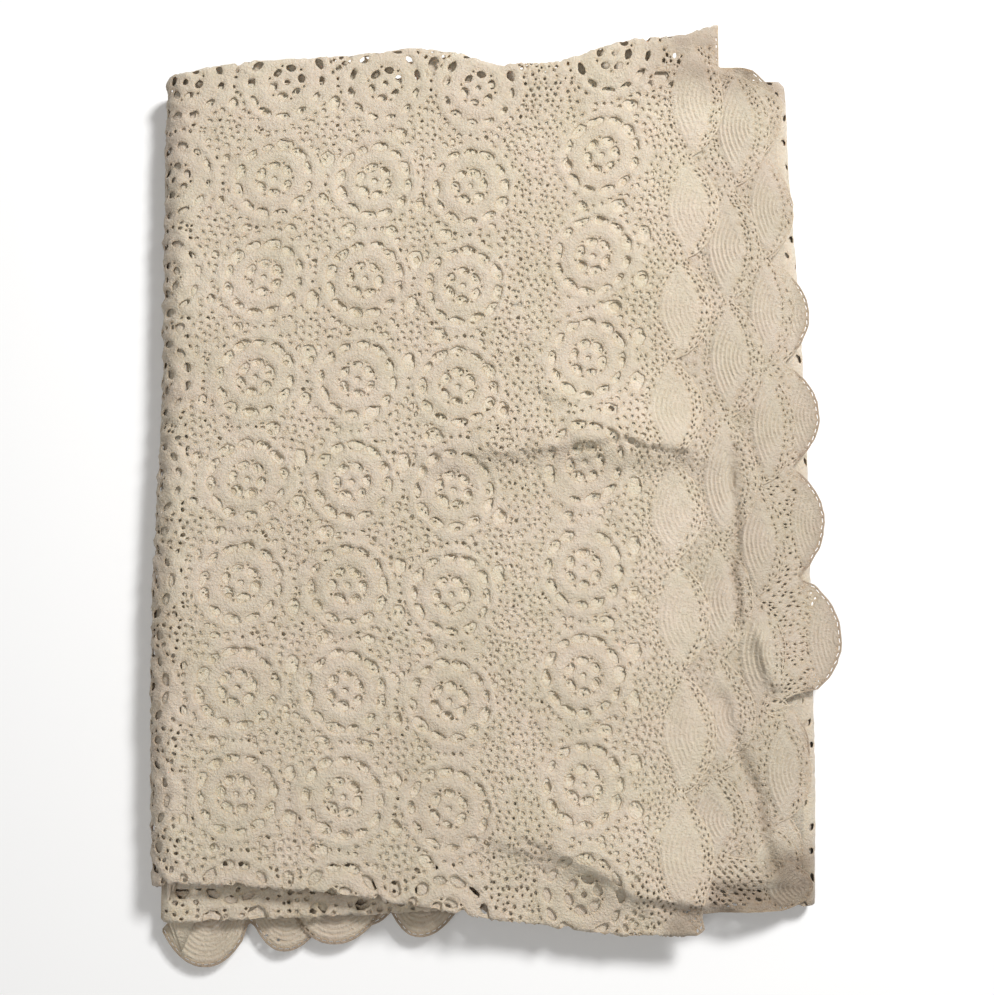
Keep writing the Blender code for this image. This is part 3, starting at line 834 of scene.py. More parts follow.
    # A triangle with every corner on an edge has no thickness: give it a raised middle.
    flat = (kind[faces] == 0).all(axis=1)
    if flat.any():
        middle = verts[faces[flat]].mean(axis=1)
        base = len(verts)
        verts = np.concatenate([verts, middle])
        kind = np.concatenate([kind, np.full(len(middle), 4)])
        height = np.concatenate([height, np.full(len(middle), 0.5)])
        index = base + np.arange(len(middle))
        f = faces[flat]
        poked = np.concatenate([np.stack([f[:, i], f[:, (i + 1) % 3], index], 1) for i in range(3)])
        faces = np.concatenate([faces[~flat], poked])

    # relief: rings of the wheels, and the yarn's own unevenness
    form = np.ones(len(verts))
    if lace.wheels:
        centres = np.array(lace.wheels)
        near = np.full(len(verts), 9.0)
        for cx, cy, scale in centres:
            near = np.minimum(near, np.hypot(verts[:, 0] - cx, verts[:, 1] - cy) / scale)
        rings = ((0.07, 0.035, 0.25), (0.246, 0.030, 0.40), (0.200, 0.012, -0.28), (0.293, 0.012, -0.25), (0.42, 0.022, 0.30))
        for at, width, amount in rings:
            form += amount * np.exp(-(((near - at) / width) ** 2))
    uneven = rough(verts[:, 0], verts[:, 1]) if callable(rough) else rough
    form += uneven * (0.6 * wave(verts[:, 0], verts[:, 1], seed + 3, 2.3) + rng.uniform(-0.25, 0.25, len(verts)))
    h = thick * height * np.where(kind == 3, 1.0, form)
    drift = 0.45 * wave(verts[:, 0], verts[:, 1], 16, 22)
    drift = drift + rng.uniform(-0.14, 0.14, len(verts))
    upper = laid(verts[:, 0], verts[:, 1], drift + h)
    lower_of = np.arange(len(verts))
    all_points, tone = upper, np.clip(height, 0, 1.2)
    raised = kind != 0
    if closed:
        lower_of[raised] = len(verts) + np.arange(raised.sum())
        lower = laid(verts[raised, 0], verts[raised, 1], (drift - under * h)[raised])
        all_points = np.concatenate([upper, lower])
        tone = np.concatenate([tone, tone[raised]])
        flat_xy = np.concatenate([verts, verts[raised]])
        both = np.concatenate([faces, lower_of[faces][:, ::-1]])
    else:
        flat_xy, both = verts, faces
    # painted shade at the folds, edges and creases, per point
    fold_shade = painted_fold_shade(all_points)
    if lace.spots:
        tree = kdtree.KDTree(len(lace.spots))
        for i, (x, y) in enumerate(lace.spots):
            tree.insert((x, y, 0), i)
        tree.balance()
        spots = np.array(lace.spots)
        middles = verts[faces].mean(axis=1)
        nearest = np.array([tree.find((x, y, 0))[1] for x, y in middles])
        origin = spots[nearest]
        reachable = np.linalg.norm(middles - origin, axis=1) < 0.46 * PITCH
        reachable &= ~lace.sample(lace.plain, middles).astype(bool)
        origin = np.where(reachable[:, None], origin, middles + 400)
    else:
        origin = verts[faces].mean(axis=1) + 400
    origin = np.concatenate([origin, origin]) if closed else origin
    parts = [(name, np.ones(len(both), bool))]
    if split is not None:
        mask = split(flat_xy[both].mean(axis=1))
        parts = [(name + "_a", mask), (name + "_b", ~mask)]
    made = []
    for part, mask in parts:
        f = both[mask]
        used, new = np.unique(f.reshape(-1), return_inverse=True)
        f2 = new.reshape(-1, 3)
        mesh = bpy.data.meshes.new(part)
        mesh.from_pydata(all_points[used].tolist(), [], f2.tolist())
        uv = mesh.uv_layers.new(name="flat")
        corner = flat_xy[f.reshape(-1)]
        uv.data.foreach_set("uv", (corner * 0.01).astype(np.float32).reshape(-1))
        around = mesh.uv_layers.new(name="around")
        vector = corner - np.repeat(origin[mask], 3, axis=0)
        around.data.foreach_set("uv", (vector / PITCH).astype(np.float32).reshape(-1))
        # the height of each point, which the material turns into painted shade at the low places
        attribute = mesh.attributes.new("depth", "FLOAT", "POINT")
        attribute.data.foreach_set("value", tone[used].astype(np.float32))
        # The upper and lower surfaces meet in a crisp edge round every opening.
        ends = np.zeros(len(mesh.edges) * 2, np.int32)
        mesh.edges.foreach_get("vertices", ends)
        on_edge = (np.concatenate([kind, kind[raised]]) if closed else kind)[used] == 0
        crisp = mesh.attributes.new("sharp_edge", "BOOLEAN", "EDGE")
        crisp.data.foreach_set("value", on_edge[ends].reshape(-1, 2).all(axis=1))
        # painted shade per point, which the material darkens the colour by
        attribute = mesh.attributes.new("painted_shade", "FLOAT", "POINT")
        attribute.data.foreach_set("value", fold_shade[used].astype(np.float32))
        mesh.polygons.foreach_set("use_smooth", np.ones(len(f2), bool))
        mesh.update()
        mesh.validate()
        obj = bpy.data.objects.new(part, mesh)
        bpy.context.scene.collection.objects.link(obj)
        made.append(obj)
    print("lace", name, "holes", len(lace.holes), "triangles", *(len(m.data.polygons) for m in made))
    return made


# ------------------------------------------------------------- the drawings
def resampled(line, step):
    line = np.array(line, float)
    length = np.linalg.norm(np.diff(line, axis=0), axis=1)
    run = np.concatenate([[0], np.cumsum(length)])
    at = np.linspace(0, run[-1], max(int(run[-1] / step), 1) + 1)
    return np.stack([np.interp(at, run, line[:, 0]), np.interp(at, run, line[:, 1])], 1)


# Row: how far the petals' middles lie inside the tips, half their width, and their ridges' crest and trough.
PETALS = {
    "1": (23.5, 14.5, 1.3, 0.6),
    "2": (26.0, 13.5, 2.1, 0.30),
    "3": (22.0, 12.0, 2.1, 0.30),
    "4": (13.0, 10.5, 1.5, 0.50),
}


EDGES = {}


def border_shape(row, y_low, y_high):
    shape = scallop_shape([m for m in SCALLOPS[row] if y_low + 6 < m[0] < y_high - 6], y_low, y_high)
    rng = np.random.default_rng(int(row))
    edge = [(x + rng.uniform(-0.7, 0.4), y) for y, x in scallop_edge(shape, 22)]
    if row == "1":
        # the corners at the two folds keep their full reach
        edge = [(max(x, 144 + 5 * smooth(-290, -262, y)) if y < -256 else max(x, 164.5) if y > 296 else x, y) for x, y in edge]
    EDGES[row] = edge
    return shape, edge


def petals(lace, row, shape, edge, beside=2):
    if row == "4":
        picots(lace, edge, (1.5, 0.27), 5.8, 1.7)
    else:
        picots(lace, edge, (1.0, 0.32), 5.2, 1.7, 0.45)
    inset, wide, crest, trough = PETALS[row]
    for middle, tip, a, b in shape:
        half = 0.5 * (b - a) * 0.9
        centre_y = 0.5 * (a + b) * 0.6 + middle * 0.4
        if b - a < 50:
            lens(lace, (tip - 18.5, centre_y), half, 16.0, math.pi / 2, 8, crest, 0.6, 1)
        else:
            lens(lace, (tip - inset, centre_y), half, wide, math.pi / 2, 8 if row in "12" else 7, crest, trough, beside)


def netting(lace, y_low, y_high, net_from, pitch, size, angle=0.0, seed=0, skip=0.15, spread=(0.45, 1.2)):
    net_rows(lace)
    lace.rows = []

    def region(x, y):
        return (x > net_from(y)) & (y > y_low) & (y < (y_high(x) if callable(y_high) else y_high))

    mesh_fill(lace, region, pitch, size, angle, 0.3, 0.5, 4, seed, skip, spread)


# The top layer's larger openings, as (x, y, half width): the layer beneath shows through them.
windows = []


def top_layer():
    xs = np.arange(-SKIN_L1, 130, 6.0)
    front = [(x, reach(skin_along(-x), FRONT)) for x in xs]
    front = [(x, y - F_REAL - max(12.0, -262.0 - y)) for x, y in front]
    back = [(x, reach(skin_along(-x), BACK_OUTER) + O_REAL + 24) for x in xs]
    y_low, y_high = reach(-150.0, FRONT), reach(-150.0, BACK_OUTER)
    shape, edge = border_shape("1", y_low, y_high)
    half_back = [(x, reach(-x, BACK_OUTER) + O_REAL / 2) for x in (165.0, 159.0, 152.0, 146.0, 139.0, 132.0)]
    half_front = [(x, reach(-x, FRONT) - F_REAL / 2) for x in (132.0, 139.0, 146.0)]
    right = [(130, front[-1][1]), *half_front, *edge, *half_back, (130, back[-1][1])]
    outline = np.concatenate([resampled(front, 4)[:-1], resampled(right, 3.0)[:-1], resampled(back[::-1], 4)[:-1]])
    left = resampled([outline[-1], outline[0]], 4)[1:-1]
    outline = np.concatenate([outline, left])
    lace = Lace(outline, 11)
    petals(lace, "1", shape, edge)
    # the parts turned under at the back and the front are plain
    for x in range(-480, 128, 8):
        y = max(reach(skin_along(-float(x)), BACK_OUTER), reach(skin_along(-float(x + 8)), BACK_OUTER)) + O_REAL + 1.0
        if not -85 < x < -60:
            lace.block(np.array([(x, y), (x + 8, y), (x + 8, y + 40), (x, y + 40)], float))
    for x in range(-220, 128, 8):
        y = min(reach(-float(x), FRONT), reach(-float(x + 8), FRONT)) - F_REAL - 1.0
        if x > 8:
            lace.block(np.array([(x, y - 60), (x + 8, y - 60), (x + 8, y), (x, y)], float))
    # left of the seam
    first = extended(WHEELS[0], 2, 2)
    columns = [
        [(x - 225, y + 1) for x, y in first],
        [(x - 150, y + 1) for x, y in first],
        [(x - 75, y) for x, y in first],
        first,
        extended(WHEELS[1], 2, 2),
        extended(WHEELS[2], 2, 2),
    ]
    columns.append([(x + 75, y - 4) for x, y in columns[5]])
    columns.append([(x + 150, y - 8) for x, y in columns[5]])
    place = lattice(columns)
    for i in range(1, 6):
        for j in range(1, 11):
            behind = place(i, j)[1] > 292
            wheel(lace, place, i, j, True, (0.6, 0.75)[i - 1] if i < 3 else 0.8 if behind else 1.0)
    for i in range(1, 6):
        for j in range(1, 10):
            u, v = i + 0.5, j + 0.5
            joint(lace, place, i, j + 0.5, False, True)
            share = 0.6 if i < 3 else 1.0
            filler(lace, place, u - (0.05 if i == 5 else 0), v, True, (1, 2, 3) if i == 5 else (0, 1, 2, 3), share)
            if i < 5:
                joint(lace, place, i + 0.5, j, True, True)
    # right of the seam
    second = extended(SEAM_WHEELS, 2, 1)
    shifted = [[(x + d, y) for x, y in second] for d in (-146, -73, 0, 73, 146)]
    place2 = lattice(shifted)
    for j in range(1, 12):
        wheel(lace, place2, 2, j, True, 0.8 if j > 9 else 1.0)
    for j in range(1, 11):
        filler(lace, place2, 2.5, j + 0.5, True, (1, 2, 3))
        gap(lace, place2, 1.56, j + 0.5, 0.0, True, 0.8)
        joint(lace, place2, 2, j + 0.5, False, True)
    third_x, fourth_x = np.array(columns[5], float), np.array(second, float)

    def beside(y):
        return np.interp(y, fourth_x[:, 1], fourth_x[:, 0])

    def before(y):
        return np.interp(y, third_x[:, 1], third_x[:, 0])

    def seam_x(y):
        return 0.5 * (beside(y) + before(y)) + 4.0

    # the seam: two soft lines in relief, and the irregular mesh round them
    ys = np.arange(y_low - 4, y_high + 4, 2.6)
    for d, tall in ((-3.0, 1.15), (3.5, 1.15)):
        line = np.stack([seam_x(ys) + d + 1.2 * wave(ys, ys * 0, 24 + int(d), 14), ys], 1)
        lace.lines.append((line, np.full(len(ys), tall)))

    def band(x, y):
        out = (x > before(y) + 24) & (x < beside(y) - 22)
        for centres in (third_x, fourth_x):
            for cx, cy in centres:
                out &= np.hypot(x - cx, y - cy) > 32.5
        return out

    mesh_fill(lace, band, (5.7, 4.1), (1.2, 1.45), 0.0, 0.3, 0.55, 5, 7, 0.1, (0.5, 1.25))
    # the side border
    lens(lace, (127, -316), 27, 15, math.pi / 2, 8, 1.45, 0.55, 1)

    def fold_line(x):
        # at the back fold the netting ends in a plain band, wider where no other row lies below
        return reach(-np.clip(x, 100, 170), BACK_OUTER) - 4.0 - 9 * np.exp(-(((x - 134) / 8) ** 2)) - 7 * smooth(140, 150, x)

    net_rows(lace, lambda x, y: y < fold_line(x))
    lace.rows = []

    def open_net(x, y):
        out = (x > beside(y) + 27) & (x < 152) & (y > 256) & (y < fold_line(x))
        for cx, cy, _ in lace.wheels:
            out &= np.hypot(x - cx, y - cy) > 36
        return out

    mesh_fill(lace, open_net, (5.9, 4.9), (1.35, 1.95), 0.35, 0.22, 0.45, 5, 83, 0.04, (0.75, 1.2))
    netting(lace, y_low - 16, fold_line, lambda y: beside(y) + 35, (5.0, 3.6), (1.05, 1.65), 0.0, 0, 0.1, (0.5, 1.15))
    windows.extend((*poly.mean(axis=0), 0.5 * float(np.ptp(poly, axis=0).mean())) for poly in lace.holes if len(poly) > 9)

    def uneven(x, y):
        nearest = np.full(np.shape(x), 999.0)
        for cx, cy, _ in lace.wheels:
            nearest = np.minimum(nearest, np.hypot(x - cx, y - cy))
        return np.where(band(x, y) | (x > beside(y) + 35), 0.9, 0.4 + 0.4 * smooth(24, 31, nearest))

    def left_part(m):
        return m[:, 0] < seam_x(m[:, 1]) - 60

    return build(lace, skin, "lace_top", grid=3.2, thick=0.8, rough=uneven, seed=5, split=left_part, under=0.55)


def second_skin(x, y, h):
    """Row 2 of panel 1, which turns up into row 1 at the front and down into row 3 at the back."""
    along = -np.asarray(x, float)
    front, inner = reach(along, FRONT), reach(along, BACK_INNER)
    y1, w1 = section(2 * front - F_REAL - y, along, -h)
    turn = np.clip((y - inner) / BACK_INNER_RADIUS, 0, math.pi)
    past = np.clip(y - inner - math.pi * BACK_INNER_RADIUS, 0, None)
    y2, w2 = inner + (BACK_INNER_RADIUS + h) * np.sin(turn) - past, (BACK_INNER_RADIUS + h) * np.cos(turn)
    back = y > inner
    # Beside and below the top layer the sheet lies right against it.
    press = 0.95 * smooth(front + 4, front + 24, y) * (1 - smooth(inner - 26, inner - 8, y))
    return finish_points(x, np.where(back, y2, y1), PANELS["1"] * STEP + np.where(back, w2, w1) + press)


def second_layer():
    """Row 2 of panel 1: seen through the top layer, and its side border beside it."""
    y_low, y_high = -293.1, 319.0
    shape, edge = border_shape("2", y_low, y_high)
    outline = np.concatenate(
        [
            resampled([(-224, -268), (131, -268), (136, y_low), *edge], 3.0)[:-1],
            resampled([edge[-1], (-224, y_high - 4), (-224, -268)], 5)[:-1],
        ]
    )
    lace = Lace(outline, 23)
    petals(lace, "2", shape, edge)
    columns = [[(x - 6 + 0.02 * y, y) for y in np.arange(-33 - 75 * 5, 420, 75.0)] for x in np.arange(-345, 260, 75.0)]
    place = lattice(columns)
    rows = len(columns[0])
    for i in range(1, 5):
        for j in range(1, rows - 1):
            wheel(lace, place, i + 0.35, j, False, 0.5)
            filler(lace, place, i + 0.85, j + 0.5, False, (0, 1, 2, 3), 0.42)
    # small gaps between the yarns, drawn where the top layer's openings show them
    rng = lace.rng
    for x, y, half in windows:
        if -218 < x < 128 and y_low + 8 < y < y_high - 8:
            if rng.uniform() < 0.16:
                at = (x + rng.uniform(0.0, 0.3) * half, y + rng.uniform(0.0, 0.35) * half)
                lace.hole(oval(*at, rng.uniform(0.45, 0.7) * half, rng.uniform(0.4, 0.6) * half, rng.uniform(0, 3.14), 7, rng, 0.3), 0.45)
                continue
            for _ in range(2 if half > 3.4 else 1):
                # more of them on the far right side of each opening, where the yarns bunch
                a, d = rng.normal(0.8, 1.1), rng.uniform(0.2, 0.75) * half
                at = (x + d * math.cos(a), y + d * math.sin(a))
                lace.hole(oval(*at, rng.uniform(0.35, 0.75), rng.uniform(0.6, 1.5), rng.uniform(0, 3.14), 5, rng, 0.3), 0.45)
    net_rows(lace)
    mesh_fill(lace, lambda x, y: (x > 148) & (y > y_low + 6) & (y < -243), (6.6, 3.7), (2.0, 1.05), -0.5, 0.2, 0.5, 5, 19)
    netting(lace, y_low + 8, y_high, lambda y: 127 + 0 * y, (5.8, 4.2), (0.8, 1.4), 0.1, 3, 0.18)
    return build(lace, second_skin, "lace_second", grid=4.2, thick=0.7, rough=0.7, seed=17, under=0.6)


def drawn_up(y, most):
    """How much closer the lower rows of panel 1 lie to its top layer than the stack's even spacing."""
    return most * smooth(-284, -258, y) * (1 - smooth(286, 304, y))


def third_skin(x, y, h):
    return finish_points(x, y, PANELS["1"] * STEP + ROWS["3"] * STEP + h + drawn_up(y, 2.1))


def fourth_skin(x, y, h):
    """Row 4 of panel 1, which turns up at the back into row 1."""
    along = -np.asarray(x, float)
    y1, w1 = section(2 * reach(along, BACK_OUTER) + O_REAL - y, along, -h)
    return finish_points(x, y1, PANELS["1"] * STEP + w1 + drawn_up(y, 3.2) * smooth(126, 150, x))


def border_layer(row, start, solid_to, name, seed, angle):
    if row == "3":
        y_low, y_high, laid = -276.0, 311.5, third_skin
    else:
        y_low, y_high, laid = -272.0, 323.0, fourth_skin
    shape, edge = border_shape(row, y_low, y_high)
    back = [(x, y_high) for x in (180, start)]
    if row == "4":
        xs = (190.0, 184.0, 179.0, 170.0, 166.0, 161.0, 152.0, 143.0, 136.0)
        back = [(x, min(reach(-x, BACK_OUTER) + O_REAL / 2 - 0.6, 345 if x < 165 else 325)) for x in xs if x < edge[-1][0] - 2]
        back += [(134, 331), (start, 331)]
    outline = np.concatenate([resampled([(start, y_low), *edge, *back], 3.0)[:-1], resampled([back[-1], (start, y_low)], 5)[:-1]])
    lace = Lace(outline, seed)
    petals(lace, row, shape, edge, 1)
    pitch, size = ((5.8, 4.2), (0.8, 1.4)) if row == "3" else ((6.0, 3.3), (1.6, 0.75))
    netting(lace, y_low, y_high - 6, lambda y: solid_to + 0 * y, pitch, size, angle, seed, 0.18)
    return build(lace, laid, name, grid=4.0, thick=0.7, seed=seed, rough=0.4, under=0.6)


def underside():
    """The outermost sheet below: panel 2 and round the right side."""
    x0, x1 = -SKIN_R1 - 24, -SKIN_L1
    xs = np.arange(x0, x1 + 1, 6.0)
    xs[-1] = x1
    front = [(x, reach(skin_along(-x), FRONT) - F_REAL - 12) for x in xs]
    back = [(x, reach(skin_along(-x), BACK_OUTER) + O_REAL + 14) for x in xs]
    outline = np.concatenate(
        [
            resampled(front, 4)[:-1],
            resampled([front[-1], back[-1]], 4)[:-1],
            resampled(back[::-1], 4)[:-1],
            resampled([back[0], front[0]], 4)[:-1],
        ]
    )
    lace = Lace(outline, 41)
    columns = [[(x, 16 + 75 * j + 0.01 * (x + 175)) for j in range(-6, 7)] for x in -175 - 75.0 * np.arange(10, -1, -1)]
    place = lattice(columns)
    for i in range(1, 10):
        for j in range(1, 12):
            # smaller where the sheet shows beside the top, at the right fold
            wheel(lace, place, i, j, False, 0.6 if i < 3 else 0.8)
            filler(lace, place, i + 0.5, j + 0.5, False, (0, 1, 2, 3), 0.5 if i < 3 else 0.7)
    return build(lace, skin, "lace_under", grid=4.6, thick=0.6, seed=29)


def fold_strip(panel, name, seed, which):
    """The front or back fold of an inner panel, in lace."""
    xs = np.arange(-240 if panel == "4" and which == "front" else -222, 196, 6.0)
    along = ALONG_TABLE[panel](np.maximum(xs, LEFT_IN))
    if which == "front":
        low, high = reach(along, FRONT) - F_REAL - (34 if panel == "4" else 18), reach(along, FRONT) + 20
    else:
        low, high = reach(along, BACK_OUTER) - 18, reach(along, BACK_OUTER) + O_REAL + 16
    outline = np.concatenate(
        [
            resampled(np.stack([xs, low], 1), 4)[:-1],
            resampled([(xs[-1], low[-1]), (xs[-1], high[-1])], 4)[:-1],
            resampled(np.stack([xs, high], 1)[::-1], 4)[:-1],
            resampled([(xs[0], high[0]), (xs[0], low[0])], 4)[:-1],
        ]
    )
    lace = Lace(outline, seed)
    y0 = low[0] - 160 + seed % 7 * 6
    columns = [[(x, y0 + 75 * j) for j in range(0, 7)] for x in np.arange(-420 + seed % 5 * 9, 400, 75.0)]
    place = lattice(columns)
    for i in range(1, len(columns) - 2):
        for j in range(1, 5):
            wheel(lace, place, i, j, False)
            filler(lace, place, i + 0.5, j + 0.5, False)
    if which == "front":
        mesh_fill(lace, lambda x, y: x < 40, (8.5, 5.5), (1.9, 1.6), 0.0, 0.25, 0.9, 7, seed, 0.2, (0.6, 1.25))
    return build(lace, panel_skin(panel), name, grid=4.4, thick=0.7, seed=seed)


def end_border(row, name, seed):
    """The scalloped free end of panel 3 where it shows at the front."""
    base = BORDER_Y + 2.0
    # (near cut, far cut, middle of the scallop, how far its tip reaches)
    ends = {
        "3": [(-222, -150, -186, 296), (-150, -80, -117, 318.5), (-80, -24, -56, 313.5), (-24, 30, 4, 300)],
        "4": [(-241, -178, -209, 335), (-178, -122, -153, 324), (-122, -66, -94, 306)],
    }[row]
    shape = [(m, tip, a, b) for a, b, m, tip in ends]
    edge = [(x, -y) for x, y in scallop_edge(shape, depth=26)]
    edge = [(max(x, -227.0) if y > -296 else x, y) for x, y in edge]
    corner = [(-226.0, base), (-226.0, -292.0)] if row == "4" else [(edge[0][0], base)]
    outline = np.concatenate(
        [
            resampled([*corner, *edge, (edge[-1][0], base)], 3.0)[:-1],
            resampled([(edge[-1][0], base), corner[0]], 5)[:-1],
        ]
    )
    EDGES["end " + row] = edge
    lace = Lace(outline, seed)
    picots(lace, edge)
    parts = 14
    for n, (m, tip, a, b) in enumerate(shape):
        line = edge[n * parts : (n + 1) * parts + 1]
        shell(lace, m, line, (m + 4, -tip + 62), ridges=8, deep=32.0)
    mesh_fill(lace, lambda x, y: y < base - 2, (5.0, 3.4), (1.9, 1.3), 0.2, margin=0.6, seed=seed)
    return build(lace, flat_row("3", row), name, grid=4.0, thick=0.7, seed=seed)


# ------------------------------------------------------- the layers that hide
def hidden_sheet():
    """Every layer that shows only at its edges or through the lace, as plain folded cloth."""
    n_l, n_s = 10, 6
    stations = [("1", f) for f in np.linspace(0, 1, 19)[:-1]]
    stations += [("L", f) for f in np.linspace(0, 1, n_l)[:-1]]
    stations += [("2", f) for f in np.linspace(0, 1, 11)[:-1]]
    stations += [("R", f) for f in np.linspace(0, 1, n_s)[:-1]]
    stations += [("3", f) for f in np.linspace(0, 1, 11)[:-1]]
    stations += [("I", f) for f in np.linspace(0, 1, n_s)[:-1]]
    stations += [("4", f) for f in np.linspace(0, 1, 10)]

    def along_of(kind, f):
        return {
            "1": lambda: -118 + f * (228 + 118),
            "L": lambda: 228 + f * math.pi * LEFT_RADIUS,
            "2": lambda: ALONG_TABLE["2"](LEFT + f * (RIGHT - LEFT)),
            "R": lambda: ALONG_TABLE["2"](RIGHT) + f * math.pi * SHORT_RADIUS,
            "3": lambda: ALONG_TABLE["3"](RIGHT + f * (LEFT_IN - RIGHT)),
            "I": lambda: ALONG_TABLE["3"](LEFT_IN) + f * math.pi * SHORT_RADIUS,
            "4": lambda: ALONG_TABLE["4"](LEFT_IN + f * (186 - LEFT_IN)),
        }[kind]()

    def rounds(kind, f):
        """The places round the rows here, as (row or fold, y, level)."""
        along = along_of(kind, f)
        front, outer, inner = reach(along, FRONT), reach(along, BACK_OUTER), reach(along, BACK_INNER)
        tip3, tip4 = reach(along, TIP_3), reach(along, TIP_4)
        if kind == "3":
            tip3 = tip4 = BORDER_Y
        elif kind in "1L2":
            tip3, tip4 = max(tip3, front + 4), max(tip4, front + 4)
        if kind == "1":
            # closer together round the tuck and towards the ends
            places = [tip3 + 3, -240, -200, -150, -100, -60, -30, -12, 0, 7, 13, 19, 25, 30, 35, 40, 46, 53, 61, 72, 88, 110, 140]
            places += [180, 230, 270, 296]
        else:
            places = tip3 + 3 + (inner - tip3 - 3) * np.linspace(0, 0.96, 27)
        out = [("3", y, -0.5 * STEP) for y in places]
        for t in np.linspace(0, 1, 5)[:-1]:
            out.append(("I", inner + BACK_INNER_RADIUS * math.sin(math.pi * t), -BACK_INNER_RADIUS * math.cos(math.pi * t)))
        stop = front + 22 if kind in "3I4" else front + 10
        out += [("2", inner + (stop - inner) * t, 0.5 * STEP) for t in np.linspace(0, 1, 9)]
        out += [("1", front + 26 + (outer - 20 - front - 26) * t, 1.5 * STEP) for t in np.linspace(0, 1, 9)]
        out += [("4", outer - 18 + (tip4 + 3 - outer + 18) * t, -1.5 * STEP) for t in np.linspace(0, 1, 9)]
        return out

    verts, columns, seen_through = [], [], []
    for kind, f in stations:
        column = []
        for row, y, w in rounds(kind, f):
            left, inner_x, right = side(y, 1), side(y, 2), side(y, 3)
            if kind == "1" and row == "3":
                w += drawn_up(y, 2.1) * (1 - 0.4 * smooth(-60, -30, 118 + f * (left - 118)) * math.exp(-(((y - 40) / 45) ** 2)))
            if kind in "1234":
                x = {
                    "1": 118 + f * (left - 118),
                    "2": left + f * (right - left),
                    "3": right + f * (inner_x - right),
                    "4": inner_x + f * (186 - inner_x),
                }[kind]
                z = PANELS[kind] * STEP + UP[kind] * w
            else:
                turn = math.pi * f
                if kind == "L":
                    x, z = left - (LEFT_RADIUS + w) * math.sin(turn), 8 * STEP + (LEFT_RADIUS + w) * math.cos(turn)
                elif kind == "R":
                    x, z = right + (SHORT_RADIUS + w) * math.sin(turn), 4 * STEP - (SHORT_RADIUS + w) * math.cos(turn)
                else:
                    radius = SHORT_RADIUS - w
                    x, z = inner_x - radius * math.sin(turn), 8 * STEP - radius * math.cos(turn)
            column.append((len(verts), row))
            verts.append((x, y, z))
        columns.append((kind, column))
    faces = []
    for (kind, a), (kind_b, b) in zip(columns, columns[1:]):
        for (i, row_i), (j, row_j), (k, _), (m, _) in zip(a, a[1:], b, b[1:]):
            if row_i != row_j and {row_i, row_j} in ({"2", "1"}, {"1", "4"}):
                continue
            if row_i == row_j == "1" and kind in "1L2R":
                continue
            if row_i == row_j == "2" and kind == "1":
                continue
            if "I" in (row_i, row_j) and kind == "1" and row_j == "2":
                continue
            faces.append((i, k, m, j))
            seen_through.append(kind == "1" and row_i == row_j == "3")
    v = np.array(verts)
    placed = finish_points(v[:, 0], v[:, 1], v[:, 2])
    mesh = bpy.data.meshes.new("inner_layers")
    mesh.from_pydata(placed.tolist(), [], faces)
    mesh.materials.append(cotton)
    # the cloth seen through the top layer gets the warmer copy: painted shade colour
    mesh.materials.append(deep_shade_cotton)
    mesh.polygons.foreach_set("material_index", np.array(seen_through, np.int32))
    uv = mesh.uv_layers.new(name="flat")
    loops = np.zeros(len(mesh.loops), np.int32)
    mesh.loops.foreach_get("vertex_index", loops)
    uv.data.foreach_set("uv", (v[loops, :2] * 0.01).astype(np.float32).reshape(-1))
    around = mesh.uv_layers.new(name="around")
    around.data.foreach_set("uv", np.full(len(loops) * 2, 5.0, np.float32))
    attribute = mesh.attributes.new("depth", "FLOAT", "POINT")
    attribute.data.foreach_set("value", np.full(len(v), 0.8, np.float32))
    attribute = mesh.attributes.new("painted_shade", "FLOAT", "POINT")
    attribute.data.foreach_set("value", np.zeros(len(v), np.float32))
    mesh.polygons.foreach_set("use_smooth", np.ones(len(mesh.polygons), bool))
    obj = bpy.data.objects.new("inner_layers", mesh)
    bpy.context.scene.collection.objects.link(obj)
    thick = obj.modifiers.new("thickness", "SOLIDIFY")
    thick.thickness = 1.3 * MM
    thick.offset = 0
    return obj


